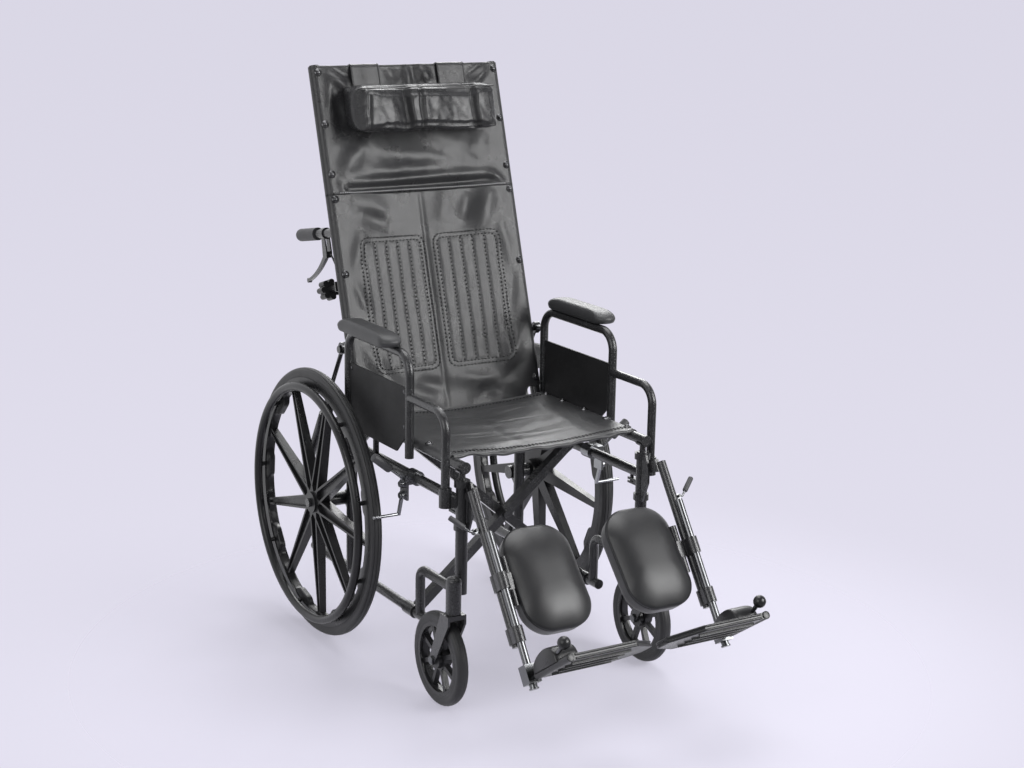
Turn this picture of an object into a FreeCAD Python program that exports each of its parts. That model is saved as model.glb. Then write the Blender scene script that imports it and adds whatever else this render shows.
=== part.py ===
"""Reclining wheelchair with elevating leg rests, built piece by piece in millimetres.

The chair faces -Y, +X is the occupant's left and +Z is up. The pieces are worked out with the rear axle at
Y = 0 and the floor at Z = 0, and the whole chair is then slid along Y so that the origin lies on the floor in
the middle of its box. Every paired piece is built on the left and mirrored to the right.
"""
import FreeCAD, Part
import math
import os

os.makedirs("parts", exist_ok=True)
Vec = FreeCAD.Vector

# Fits, and how far shapes that are joined or cut reach into each other
RUN_FIT = 0.05
SLIDE_FIT = 0.1
GAP = 0.3
OVERLAP = 1.0

# Side frames
FRAME_X = 222.0
TUBE_R = 11.1
UPRIGHT_R = 12.7
CASTER_TUBE_R = 10.5
TUBE_WALL = 1.8
LOWER_Z = 140.0
LOWER_FRONT_Y = -380.0
LOWER_REAR_Y = 165.0
UPPER_Z = 440.0
FRONT_UPRIGHT_Y = -532.0
FRONT_UPRIGHT_TOP = 489.0
REAR_UPRIGHT_Y = -30.0
REAR_UPRIGHT_TOP = 476.0
CASTER_RISE_Y = -358.0
CASTER_TUBE_Z = 245.0
CASTER_BEND_R = 22.5
PLATE = 5.0
CAP_LENGTH = 14.0
CAP_LIP = 3.0
CAP_EDGE = 1.0

# Rear wheels
WHEEL_X = 295.0
WHEEL_R = 305.0
TYRE_WIDTH = 25.0
TYRE_DEPTH = 21.0
TYRE_SHOULDER = 0.45
RIM_DEPTH = 20.0
RIM_WIDTH = 23.0
HUB_R = 24.0
HUB_INNER = 29.0
HUB_OUTER = 17.0
AXLE_R = 6.35
AXLE_BOSS_R = 16.0
AXLE_NUT_R = 10.0
AXLE_NUT = 7.0
SPOKES = 9
SPOKE_TURN = 15.0
SPOKE_HUB_WIDTH = 34.0
SPOKE_RIM_WIDTH = 14.0
SPOKE_HUB_DEPTH = 24.0
SPOKE_RIM_DEPTH = 14.0
SPOKE_WALL = 4.0
HANDRIM_INSET = 19.0
HANDRIM_R = WHEEL_R - TYRE_DEPTH - HANDRIM_INSET
HANDRIM_TUBE_R = 9.5
HANDRIM_OFFSET = 28.0
STANDOFF_R = 5.0

# Casters
STEM_X = 253.0
STEM_Y = -557.0
STEM_R = 7.0
STEM_TOP = 280.0
HOUSING_R = 16.0
HOUSING_ROUND = 8.0
HOUSING_BOTTOM = 216.0
HOUSING_TOP = 292.0
CASTER_R = 100.0
CASTER_TRAIL = 50.0
CASTER_WIDTH = 26.0
CASTER_TYRE_DEPTH = 22.0
CASTER_HUB_R = 20.0
CASTER_HUB_HALF = 15.5
CASTER_WEB = 12.0
CASTER_RIM = 8.0
CASTER_RECESS = 1.0
CASTER_WINDOWS = 8
CASTER_AXLE_R = 5.0
FORK_HALF_GAP = 16.5
FORK_BLADE = 5.0
FORK_CROWN = 10.0
FORK_DROP = 2.0
FORK_EYE_R = 12.0

# Folding cross bars and seat rails
RAIL_Z = 515.0
RAIL_FRONT_Y = -543.0
RAIL_REAR_Y = -126.0
CROSS_Y = -320.0
CROSS_BAR = 20.0
CROSS_SPACE = 2.0
SLEEVE_LENGTH = 40.0
SLEEVE_WALL = 3.4
CROSS_BOLT_R = 5.0
CROSS_HEAD_R = 9.0
CROSS_HEAD = 6.0
REAR_REST_Y = -150.0
SADDLE_LENGTH = 20.0
SADDLE_WALL = 3.0
SADDLE_SPREAD = 60.0

# Back canes
CANE_X = 227.0
CANE_R = 11.1
BACK_ANGLE = 17.4
HINGE_Y = -95.0
HINGE_Z = 495.0
CANE_FOOT = 16.0
CANE_LENGTH = 809.0
PIVOT_R = 6.0
BRACKET_MARGIN = 15.6
HANDLE_ALONG = 434.0
HANDLE_DROP = 10.0
HANDLE_TUBE_R = 10.0
HANDLE_LENGTH = 192.0
GRIP_START = 96.0
GRIP_R = 14.5
GRIP_ROUND = 8.7
GRIP_END = 9.0
GRIP_RIBS = 6
GRIP_GROOVE = 1.6

# Recline levers, cables and gas struts
LEVER_ALONG = 58.0
LEVER_RING = 16.0
LEVER_DROP = 48.0
LEVER_THICK = 8.0
LEVER_EYE_R = 7.0
LEVER_PIN_R = 2.5
LEVER_REACH = 104.0
LEVER_FALL = 60.0
LEVER_EAR = 3.0
CABLE_R = 2.0
CABLE_ENTRY = 78.0
CABLE_RUN = 9.0
STRUT_X = 251.0
STRUT_ARM = 175.0
STRUT_BELOW = 12.0
CYLINDER_R = 10.0
CYLINDER_WALL = 2.5
CYLINDER_ABOVE = 40.0
CYLINDER_BELOW = 178.0
ROD_R = 5.0
ROD_LENGTH = 212.0
EYE_R = 11.0
EYE_WIDTH = 12.0
EYE_SLOT = 6.6
TRUNNION_R = 5.0

# Spreader bar and its star knob
SPREADER_ALONG = 316.0
SPREADER_HEIGHT = 22.0
SPREADER_THICK = 5.0
SPREADER_BACK = 19.0
SPREADER_EYE_R = 6.0
SPREADER_PIN_R = 3.0
SPREADER_EAR = 3.0
SPREADER_BOSS_R = 9.0
STUD_R = 4.0
STUD_LENGTH = 80.0
KNOB_NECK_R = 7.0
KNOB_START = 66.0
KNOB_LENGTH = 26.0
KNOB_R = 24.0
KNOB_LOBES = 7
KNOB_LOBE_R = 6.5
BOLT_HEAD_R = 8.0
BOLT_HEAD = 3.5

# Armrests
ARM_X = 253.0
ARM_R = 9.5
ARM_REAR_Y = -79.0
ARM_MID_Y = -363.0
ARM_FRONT_Y = -518.0
ARM_TOP_Z = 712.0
ARM_STEP_Z = 624.0
ARM_MID_BOTTOM = 494.0
ARM_FOOT_Z = 436.0
ARM_BEND_R = 42.0
SOCKET_BOTTOM = 430.0
SOCKET_TOP = 470.0
SOCKET_WALL = 3.5
SOCKET_WEB = 12.0
PAD_OFFSET = 16.0
PAD_Y = -207.0
PAD_LENGTH = 234.0
PAD_WIDTH = 52.0
PAD_HEIGHT = 30.0
PAD_CORNER = 25.0
GUARD_THICK = 4.0
GUARD_BOTTOM = 496.0
GUARD_TOP = 642.0
GUARD_CUT = 45.0

# Wheel locks
LOCK_Y = -330.0
LOCK_LEVER_Z = 429.0
LOCK_SHOE_Z = 404.0
LOCK_PIN_R = 4.0
LOCK_HEAD_R = 6.4
LOCK_EYE_R = 9.0
LOCK_EYE = 6.0
LOCK_BLOCK = 30.0
LOCK_RING_WALL = 5.0
LOCK_PLATE_X = 244.0
LOCK_LEVER_R = 4.0
LOCK_ROD_R = 3.0
LOCK_REACH_X = 48.0
LOCK_REACH_Z = 52.0
LOCK_GRIP_R = 8.0
LOCK_GRIP = 42.0
SHOE_R = 3.5
SHOE_BACK = 15.0
SHOE_FALL = 46.0
SHOE_END_X = 312.0

# Leg rests, along their own leaning line from the lower tube end up
LEG_X = 231.0
LEG_FOOT_Y = -827.0
LEG_FOOT_Z = 146.0
LEG_ANGLE = 34.6
LEG_TUBE_R = 10.0
LEG_TUBE_E = -8.0
LEG_TUBE_LOW = 86.0
LEG_TUBE_HIGH = 410.0
SLIDE_R = 8.0
SLIDE_E = 10.5
SLIDE_HIGH = 318.0
SLIDE_CAP_EDGE = 2.0
LEG_PIVOT_T = 411.0
LEG_PIVOT_E = -44.0
LEG_TAB_R = 11.0
HANGER_X = 212.0
HANGER_FRONT = 46.0
COLLAR_WALL = 4.0
COLLAR_HEIGHT = 14.0
COLLAR_UPPER_Z = 473.0
COLLAR_LOWER_Z = 382.0
LUG_REACH = 44.0
LUG_HALF_WIDTH = 6.0
LUG_PIN_R = 4.0
LUG_PIN = 12.0
CLAMP_T = 200.0
CLAMP_LENGTH = 34.0
LOW_CLAMP_T = 92.0
LOW_CLAMP_LENGTH = 32.0
CLAMP_WALL = 4.0
CALF_PIN_X = 207.0
CALF_PIN_R = 4.0
CALF_X = 124.0
CALF_T = 212.0
CALF_HALF_WIDTH = 71.5
CALF_HALF_LENGTH = 112.0
CALF_CORNER = 58.0
CALF_LEAN = 8.0
CALF_BACK_E = -36.0
CALF_RIM_E = -4.0
CALF_CROWN_E = 22.0
CALF_PLATE = 3.0
ELEVATOR_T = 330.0
ELEVATOR_PIN_R = 3.0
ELEVATOR_ROD_R = 3.0
ELEVATOR_OUT = 46.0
ELEVATOR_UP = 34.0
ELEVATOR_GRIP_R = 5.0
ELEVATOR_GRIP = 34.0
FOOT_HINGE_X = 231.0
FOOT_HINGE_T = 18.0
FOOT_HINGE_R = 8.0
FOOT_PIN_R = 4.0
FOOT_REAR_E = 38.0
FOOT_FRONT_E = 172.0
FOOT_INNER_X = 21.0
FOOT_THICK = 12.0
FOOT_TIP = 60.0
FOOT_TAPER = 46.0
FOOT_RIBS = 4
FOOT_RIB = 4.0
FOOT_CLAMP_WALL = 6.0
FOOT_CLAMP_LOW = 8.0
FOOT_CLAMP_HIGH = 46.0
BALL_R = 13.0
BALL_E = 166.0
BALL_RISE = 30.0

# Upholstery
CLOTH = 2.5
LEAST_CORNER = 0.4
SEAT_FRONT_Y = -492.0
SEAT_SAG = 10.0
BACK_LOW = 26.0
BACK_SEAM = 515.0
BACK_TOP = 806.0
BACK_SAG = 14.0
HEAD_SAG = 4.2
BACK_WRAP = 58.0
SEAT_WRAP = 92.0
PILLOW_HALF_WIDTH = 178.0
PILLOW_LOW = 655.0
PILLOW_HIGH = 762.0
PILLOW_DEPTH = 74.0
PILLOW_CORNER = 16.0
STRAP_X = 110.0
STRAP_WIDTH = 70.0

# Directions: up along the cane and forward from it, up along the leg rest and forward from it
CANE_UP = Vec(0, math.sin(math.radians(BACK_ANGLE)), math.cos(math.radians(BACK_ANGLE)))
CANE_FRONT = Vec(0, -CANE_UP.z, CANE_UP.y)
LEG_UP = Vec(0, math.sin(math.radians(LEG_ANGLE)), math.cos(math.radians(LEG_ANGLE)))
LEG_FRONT = Vec(0, -LEG_UP.z, LEG_UP.y)
HANDLE_BACK = Vec(0, math.cos(math.radians(HANDLE_DROP)), -math.sin(math.radians(HANDLE_DROP)))
SIDE = Vec(1, 0, 0)
UP = Vec(0, 0, 1)
BACK = Vec(0, 1, 0)


def cane_point(x, along, front=0.0):
    """A point given by its X, its distance up the cane from the hinge, and its distance in front of it."""
    return Vec(x, HINGE_Y, HINGE_Z) + CANE_UP * along + CANE_FRONT * front


def leg_point(x, t, e=0.0):
    """A point given by its X, its distance t up the leg rest and its distance e in front of it."""
    return Vec(x, LEG_FOOT_Y, LEG_FOOT_Z) + LEG_UP * t + LEG_FRONT * e


def rod(start, end, radius):
    """A round bar between two points."""
    return Part.makeCylinder(radius, (end - start).Length, start, end - start)


def ring(start, end, outer, inner):
    """A round tube between two points."""
    return rod(start, end, outer).cut(rod(start, end, inner))


def block(low, high):
    """A box between two corners."""
    return Part.makeBox(high.x - low.x, high.y - low.y, high.z - low.z, low)


def fuse(shapes):
    """One solid from overlapping ones."""
    return shapes[0].multiFuse(shapes[1:]).removeSplitter()


def mirrored(shape):
    """The same piece on the other side of the chair."""
    return shape.mirror(Vec(0, 0, 0), SIDE)


def prism(points, reach):
    """A flat outline of straight edges pushed along a vector."""
    return Part.Face(Part.makePolygon(points + points[:1])).extrude(reach)


def bent_rod(points, radius, bend):
    """A round bar along straight runs joined by tangent arcs of one bend radius."""
    edges = []
    last = points[0]
    for before, corner, after in zip(points, points[1:], points[2:]):
        inward = (before - corner).normalize()
        onward = (after - corner).normalize()
        half_turn = (math.pi - inward.getAngle(onward)) / 2
        trim = bend * math.tan(half_turn)
        start = corner + inward * trim
        end = corner + onward * trim
        bisector = (inward + onward).normalize()
        middle = corner + bisector * (bend / math.cos(half_turn) - bend)
        edges.append(Part.LineSegment(last, start).toShape())
        edges.append(Part.Arc(start, middle, end).toShape())
        last = end
    edges.append(Part.LineSegment(last, points[-1]).toShape())
    section = Part.Wire(Part.makeCircle(radius, points[0], points[1] - points[0]))
    return Part.Wire(edges).makePipeShell([section], True, False)


def rounded_outline(centre, u, v, half_u, half_v, corner):
    """A rectangle with round corners about a centre, in the plane of u and v."""
    def at(a, b):
        return centre + u * a + v * b

    diagonal = corner * (1 - math.sqrt(0.5))
    edges = []
    for turn in range(4):
        a, b = ((1, 1), (-1, 1), (-1, -1), (1, -1))[turn]
        along_u = at(a * (half_u - corner), b * half_v)
        along_v = at(a * half_u, b * (half_v - corner))
        middle = at(a * (half_u - diagonal), b * (half_v - diagonal))
        first, last = (along_v, along_u) if a == b else (along_u, along_v)
        if edges:
            edges.append(Part.LineSegment(edges[-1].Vertexes[-1].Point, first).toShape())
        edges.append(Part.Arc(first, middle, last).toShape())
    edges.append(Part.LineSegment(edges[-1].Vertexes[-1].Point, edges[0].Vertexes[0].Point).toShape())
    return Part.Wire(edges)


def cushion(centre, u, v, half_u, half_v, corner, levels):
    """A padded form: a loft through round-cornered outlines at (height, inset) levels along u cross v."""
    normal = u.cross(v)
    outlines = []
    for height, inset in levels:
        outlines.append(rounded_outline(centre + normal * height, u, v, half_u - inset, half_v - inset,
                                        max(corner - inset, corner * LEAST_CORNER)))
    return Part.makeLoft(outlines, True, False)


def sling(origin, front, along, half_span, bar_radius, sag, wrap):
    """A sheet of cloth stretched between two bars, hollowed by its sag and hemmed round the bars' outsides.

    front points out of the cloth's face and along is the length vector. wrap is the angle round the bar, from
    the front, where the hem ends.
    """
    inner = bar_radius + GAP
    outer = inner + CLOTH

    def at(x, f):
        return origin + SIDE * x + front * f

    def on_bar(side, radius, degrees):
        angle = math.radians(degrees)
        return at(side * (half_span + radius * math.sin(angle)), radius * math.cos(angle))

    def hem(side, radius):
        return Part.Arc(on_bar(side, radius, 0), on_bar(side, radius, wrap / 2), on_bar(side, radius, wrap))

    edges = [
        Part.Arc(at(-half_span, outer), at(0, outer - sag), at(half_span, outer)),
        hem(1, outer),
        Part.LineSegment(on_bar(1, outer, wrap), on_bar(1, inner, wrap)),
        hem(1, inner),
        Part.Arc(at(half_span, inner), at(0, inner - sag), at(-half_span, inner)),
        hem(-1, inner),
        Part.LineSegment(on_bar(-1, inner, wrap), on_bar(-1, outer, wrap)),
        hem(-1, outer),
    ]
    outline = Part.Wire(Part.__sortEdges__([edge.toShape() for edge in edges]))
    return Part.Face(outline).extrude(along)


def revolved(profile, centre):
    """A ring round the X axis through centre, from (x, radius) corners of its section."""
    points = [centre + Vec(x, 0, radius) for x, radius in profile]
    face = Part.Face(Part.makePolygon(points + points[:1]))
    return face.revolve(centre, SIDE, 360)


def tyre(centre, radius, width, depth):
    """A solid tyre round the X axis with flat sides and a crowned tread."""
    half = width / 2
    shoulder = radius - depth * TYRE_SHOULDER
    low = radius - depth
    outline = ((half, shoulder), (half, low), (-half, low), (-half, shoulder))
    corners = [centre + Vec(x, 0, r) for x, r in outline]
    edges = [Part.LineSegment(a, b).toShape() for a, b in zip(corners, corners[1:])]
    edges.append(Part.Arc(corners[-1], centre + Vec(0, 0, radius), corners[0]).toShape())
    return Part.Face(Part.Wire(edges)).revolve(centre, SIDE, 360)


def round_the_axle(shape, centre, count, first=0.0):
    """Copies of one shape spread evenly round the X axis through centre, the first at an angle in degrees."""
    copies = []
    for number in range(count):
        copy = shape.copy()
        copy.rotate(centre, SIDE, first + 360 * number / count)
        copies.append(copy)
    return copies


def tapered_bar(base, axis, across, thick, length, widths, depths):
    """A straight bar whose width and depth change evenly from its base to its end."""
    outlines = []
    for share in (0, 1):
        middle = base + axis * (length * share)
        w = across * (widths[share] / 2)
        d = thick * (depths[share] / 2)
        corners = [middle + w + d, middle - w + d, middle - w - d, middle + w - d]
        outlines.append(Part.makePolygon(corners + corners[:1]))
    return Part.makeLoft(outlines, True, True)


def saddle(y, base_z):
    """A cradle under a seat rail on a short post."""
    inner = TUBE_R + GAP
    outer = inner + SADDLE_WALL
    centre = Vec(FRAME_X, y - SADDLE_LENGTH / 2, RAIL_Z)
    cradle = ring(centre, centre + BACK * SADDLE_LENGTH, outer, inner)
    keep_z = RAIL_Z - inner * math.cos(math.radians(SADDLE_SPREAD))
    cradle = cradle.common(block(Vec(FRAME_X - 2 * outer, centre.y, RAIL_Z - 2 * outer),
                                 Vec(FRAME_X + 2 * outer, centre.y + SADDLE_LENGTH, keep_z)))
    top_z = RAIL_Z - inner - SADDLE_WALL / 2
    post = rod(Vec(FRAME_X, y, base_z), Vec(FRAME_X, y, top_z), SADDLE_LENGTH / 3)
    return fuse([cradle, post])


def arm_socket(y, web_target_y):
    """A socket for an arm post and the web that joins it to the frame."""
    outer = ARM_R + SLIDE_FIT + SOCKET_WALL
    middle_z = (SOCKET_BOTTOM + SOCKET_TOP) / 2
    tube = rod(Vec(ARM_X, y, SOCKET_BOTTOM), Vec(ARM_X, y, SOCKET_TOP), outer)
    reach = Vec(ARM_X, y, 0) - Vec(FRAME_X, web_target_y, 0)
    across = Vec(-reach.y, reach.x, 0).normalize() * (SOCKET_WEB / 2)
    root = Vec(FRAME_X, web_target_y, SOCKET_BOTTOM)
    corners = [root + across, root - across, root + reach - across, root + reach + across]
    return fuse([tube, prism(corners, UP * (middle_z - SOCKET_BOTTOM))])


def socket_bore(y):
    """The hole of an arm socket."""
    return rod(Vec(ARM_X, y, SOCKET_BOTTOM - OVERLAP), Vec(ARM_X, y, SOCKET_TOP + OVERLAP), ARM_R + SLIDE_FIT)


HINGE_PLATE_X = CANE_X - CANE_R - GAP - PLATE
STRUT_ROOT_ANGLE = math.radians(STRUT_BELOW)
TRUNNION = Vec(STRUT_X, HINGE_Y + STRUT_ARM * math.cos(STRUT_ROOT_ANGLE),
               HINGE_Z - STRUT_ARM * math.sin(STRUT_ROOT_ANGLE))
STRUT_PIN = cane_point(STRUT_X, STRUT_ARM)
STRUT_UP = (STRUT_PIN - TRUNNION).normalize()
AXLE = Vec(WHEEL_X, 0, WHEEL_R)
STEM = Vec(STEM_X, STEM_Y, 0)
CASTER_AXLE = Vec(STEM_X, STEM_Y + CASTER_TRAIL, CASTER_R)


def recline_bracket():
    """The plate that carries the back hinge and the strut's trunnion, with the hinge pin."""
    x = HINGE_PLATE_X
    margin = BRACKET_MARGIN
    outline = [
        Vec(x, HINGE_Y - margin, HINGE_Z - margin),
        Vec(x, HINGE_Y - margin, HINGE_Z + margin / 2),
        Vec(x, HINGE_Y - margin / 2, HINGE_Z + margin),
        Vec(x, HINGE_Y + 2 * margin, HINGE_Z + margin),
        Vec(x, TRUNNION.y, TRUNNION.z + margin),
        Vec(x, TRUNNION.y + margin, TRUNNION.z + margin / 2),
        Vec(x, TRUNNION.y + margin, TRUNNION.z - margin / 2),
        Vec(x, TRUNNION.y, TRUNNION.z - margin),
        Vec(x, REAR_UPRIGHT_Y, UPPER_Z - margin),
        Vec(x, REAR_UPRIGHT_Y - 2 * margin, UPPER_Z),
    ]
    plate = prism(outline, SIDE * PLATE)
    hinge = Vec(x, HINGE_Y, HINGE_Z)
    pin = rod(hinge, hinge + SIDE * (PLATE + 2 * GAP + 2 * CANE_R), PIVOT_R)
    hole_start = Vec(x - PLATE, TRUNNION.y, TRUNNION.z)
    hole = rod(hole_start, hole_start + SIDE * (3 * PLATE), TRUNNION_R + RUN_FIT)
    return fuse([plate, pin]).cut(hole)


def side_frame():
    """The welded side frame with its sockets, caster housing, axle and back bracket, and its tube caps."""
    lower_front = Vec(FRAME_X, LOWER_FRONT_Y, LOWER_Z)
    lower_rear = Vec(FRAME_X, LOWER_REAR_Y, LOWER_Z)
    rear_foot = Vec(FRAME_X, REAR_UPRIGHT_Y, LOWER_Z)
    front_foot = Vec(FRAME_X, FRONT_UPRIGHT_Y, CASTER_TUBE_Z)
    upper_front = Vec(FRAME_X, FRONT_UPRIGHT_Y, UPPER_Z)
    upper_rear = Vec(FRAME_X, REAR_UPRIGHT_Y, UPPER_Z)
    caster_route = [
        Vec(FRAME_X, CASTER_RISE_Y, LOWER_Z),
        Vec(FRAME_X, CASTER_RISE_Y, CASTER_TUBE_Z),
        Vec(FRAME_X, FRONT_UPRIGHT_Y + UPRIGHT_R, CASTER_TUBE_Z),
        Vec(STEM_X, STEM_Y, CASTER_TUBE_Z),
    ]
    housing = rod(STEM + UP * HOUSING_BOTTOM, STEM + UP * HOUSING_TOP, HOUSING_R)
    housing = housing.makeFillet(HOUSING_ROUND, [housing.Edges[0]])
    axle_inner = Vec(FRAME_X - UPRIGHT_R, AXLE.y, AXLE.z)
    boss_end = Vec(WHEEL_X - HUB_INNER - GAP, AXLE.y, AXLE.z)
    hub_end = Vec(WHEEL_X + HUB_OUTER + GAP, AXLE.y, AXLE.z)
    axle_plate = prism([
        Vec(FRAME_X - PLATE / 2, REAR_UPRIGHT_Y, AXLE.z - 3 * AXLE_BOSS_R),
        Vec(FRAME_X - PLATE / 2, AXLE.y, AXLE.z - AXLE_BOSS_R),
        Vec(FRAME_X - PLATE / 2, AXLE.y, AXLE.z + AXLE_BOSS_R),
        Vec(FRAME_X - PLATE / 2, REAR_UPRIGHT_Y, AXLE.z + 3 * AXLE_BOSS_R),
    ], SIDE * PLATE)
    lugs = []
    for z in (COLLAR_LOWER_Z + 2 * COLLAR_HEIGHT, UPPER_Z - 2 * TUBE_R):
        root = Vec(FRAME_X, FRONT_UPRIGHT_Y, z)
        end = root + BACK * LUG_REACH
        half = SIDE * LUG_HALF_WIDTH
        lugs.append(prism([root - half, root + half, end + half, end - half], UP * PLATE))
        lugs.append(rod(end - BACK * (2 * LUG_PIN_R), end - BACK * (2 * LUG_PIN_R) + UP * LUG_PIN, LUG_PIN_R))
    frame = fuse([
        rod(lower_front, lower_rear, TUBE_R),
        rod(rear_foot, Vec(FRAME_X, REAR_UPRIGHT_Y, REAR_UPRIGHT_TOP), UPRIGHT_R),
        rod(front_foot, Vec(FRAME_X, FRONT_UPRIGHT_Y, FRONT_UPRIGHT_TOP), UPRIGHT_R),
        rod(upper_front, upper_rear, TUBE_R),
        bent_rod(caster_route, CASTER_TUBE_R, CASTER_BEND_R),
        housing,
        axle_plate,
        rod(axle_inner, boss_end, AXLE_BOSS_R),
        rod(boss_end, hub_end, AXLE_R),
        rod(hub_end, hub_end + SIDE * AXLE_NUT, AXLE_NUT_R),
        recline_bracket(),
        saddle(FRONT_UPRIGHT_Y, FRONT_UPRIGHT_TOP - PLATE),
        saddle(REAR_REST_Y, UPPER_Z),
        arm_socket(ARM_FRONT_Y, FRONT_UPRIGHT_Y),
        arm_socket(ARM_REAR_Y, ARM_REAR_Y),
    ] + lugs)
    bores = [
        socket_bore(ARM_FRONT_Y),
        socket_bore(ARM_REAR_Y),
        rod(STEM + UP * (HOUSING_BOTTOM - OVERLAP), STEM + UP * (STEM_TOP + FORK_DROP), STEM_R + RUN_FIT),
        rod(lower_front, lower_rear, TUBE_R - TUBE_WALL),
    ]
    for bore in bores:
        frame = frame.cut(bore)
    caps = []
    for end, outward in ((lower_front, -1), (lower_rear, 1)):
        plug = rod(end - BACK * (outward * CAP_LENGTH), end, TUBE_R - TUBE_WALL)
        lip = rod(end, end + BACK * (outward * CAP_LIP), TUBE_R)
        caps.append(fuse([plug, lip]))
    return Part.makeCompound([frame] + caps)


def rear_wheel():
    """The one-piece spoked wheel: rim, tapered channel spokes and hub."""
    rim_outer = WHEEL_R - TYRE_DEPTH - GAP / 2
    rim_inner = rim_outer - RIM_DEPTH
    half = RIM_WIDTH / 2
    rim = revolved([(-half, rim_outer), (half, rim_outer), (half, rim_inner), (-half, rim_inner)], AXLE)
    hub = rod(AXLE - SIDE * HUB_INNER, AXLE + SIDE * HUB_OUTER, HUB_R)
    length = rim_inner + RIM_DEPTH / 2 - HUB_R / 2
    spoke = tapered_bar(AXLE + UP * (HUB_R / 2), UP, BACK, SIDE, length,
                        (SPOKE_HUB_WIDTH, SPOKE_RIM_WIDTH), (SPOKE_HUB_DEPTH, SPOKE_RIM_DEPTH))
    channel_start = HUB_R + SPOKE_WALL
    channel = tapered_bar(AXLE + UP * channel_start + SIDE * SPOKE_HUB_DEPTH, UP, BACK, SIDE,
                          rim_inner - SPOKE_WALL - channel_start,
                          (SPOKE_HUB_WIDTH - 3 * SPOKE_WALL, SPOKE_RIM_WIDTH - 2 * SPOKE_WALL),
                          (2 * SPOKE_HUB_DEPTH - SPOKE_WALL, 2 * SPOKE_HUB_DEPTH - SPOKE_WALL))
    spokes = round_the_axle(spoke.cut(channel), AXLE, SPOKES, SPOKE_TURN)
    wheel = fuse([rim, hub] + spokes)
    return wheel.cut(rod(AXLE - SIDE * WHEEL_X, AXLE + SIDE * WHEEL_X, AXLE_R + RUN_FIT))


def handrim():
    """The push rim on its short standoffs, which stand on the wheel rim between the spokes."""
    hoop = Part.makeTorus(HANDRIM_R, HANDRIM_TUBE_R, AXLE + SIDE * HANDRIM_OFFSET, SIDE)
    foot = AXLE + SIDE * (RIM_WIDTH / 2) + UP * HANDRIM_R
    standoff = rod(foot, AXLE + SIDE * HANDRIM_OFFSET + UP * HANDRIM_R, STANDOFF_R)
    return fuse([hoop] + round_the_axle(standoff, AXLE, SPOKES, SPOKE_TURN + 180 / SPOKES))


def caster_fork():
    """The caster fork with its stem and axle bolt."""
    top_z = HOUSING_BOTTOM - FORK_DROP
    half = FORK_HALF_GAP + FORK_BLADE
    crown = block(Vec(STEM_X - half, STEM_Y - HOUSING_R, top_z - FORK_CROWN),
                  Vec(STEM_X + half, STEM_Y + HOUSING_R, top_z))
    stem = rod(STEM + UP * (top_z - FORK_CROWN), STEM + UP * STEM_TOP, STEM_R)
    washer = rod(STEM + UP * (top_z - OVERLAP), STEM + UP * (HOUSING_BOTTOM - GAP), 2 * STEM_R)
    bolt_reach = SIDE * (half + BOLT_HEAD)
    bolt = rod(CASTER_AXLE - bolt_reach, CASTER_AXLE + bolt_reach, CASTER_AXLE_R)
    pieces = [crown, stem, washer, bolt]
    eye = FORK_EYE_R
    for x in (STEM_X - half, STEM_X + FORK_HALF_GAP):
        pieces.append(prism([
            Vec(x, STEM_Y - HOUSING_R, top_z),
            Vec(x, STEM_Y + HOUSING_R, top_z),
            Vec(x, CASTER_AXLE.y + eye, CASTER_R),
            Vec(x, CASTER_AXLE.y, CASTER_R - eye),
            Vec(x, CASTER_AXLE.y - eye, CASTER_R),
            Vec(x, STEM_Y - HOUSING_R, top_z - 2 * FORK_CROWN),
        ], SIDE * FORK_BLADE))
    for outward in (-1, 1):
        start = CASTER_AXLE + SIDE * (outward * half)
        pieces.append(rod(start, start + SIDE * (outward * BOLT_HEAD), BOLT_HEAD_R))
    return fuse(pieces)


def caster_wheel():
    """The caster's plastic wheel: hub, web with windows and rim."""
    rim_outer = CASTER_R - CASTER_TYRE_DEPTH - GAP / 2
    rim_inner = rim_outer - CASTER_RIM
    half = CASTER_WIDTH / 2 - CASTER_RECESS
    rim_section = [(-half, rim_outer), (half, rim_outer), (half, rim_inner), (-half, rim_inner)]
    rim = revolved(rim_section, CASTER_AXLE)
    hub = rod(CASTER_AXLE - SIDE * CASTER_HUB_HALF, CASTER_AXLE + SIDE * CASTER_HUB_HALF, CASTER_HUB_R)
    web_reach = SIDE * (CASTER_WEB / 2)
    web = rod(CASTER_AXLE - web_reach, CASTER_AXLE + web_reach, rim_inner + OVERLAP)
    low = CASTER_HUB_R + CASTER_RIM / 2
    high = rim_inner - CASTER_RIM / 2
    spacing = 2 * math.pi / CASTER_WINDOWS
    rib = CASTER_RIM
    window = tapered_bar(CASTER_AXLE + UP * low, UP, BACK, SIDE, high - low,
                         (low * spacing - rib, high * spacing - rib), (2 * CASTER_WIDTH, 2 * CASTER_WIDTH))
    for hole in round_the_axle(window, CASTER_AXLE, CASTER_WINDOWS):
        web = web.cut(hole)
    wheel = fuse([web, hub, rim])
    return wheel.cut(rod(CASTER_AXLE - SIDE * STEM_X, CASTER_AXLE + SIDE * STEM_X, CASTER_AXLE_R + RUN_FIT))


LOW_PIVOT = Vec(-FRAME_X, CROSS_Y, LOWER_Z)
RAIL_MIDDLE = Vec(FRAME_X, CROSS_Y, RAIL_Z)
CROSS_UP = (RAIL_MIDDLE - LOW_PIVOT).normalize()
CROSS_CENTRE = (RAIL_MIDDLE + Vec(-FRAME_X, CROSS_Y, RAIL_Z)
                + LOW_PIVOT + Vec(FRAME_X, CROSS_Y, LOWER_Z)) / 4


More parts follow.
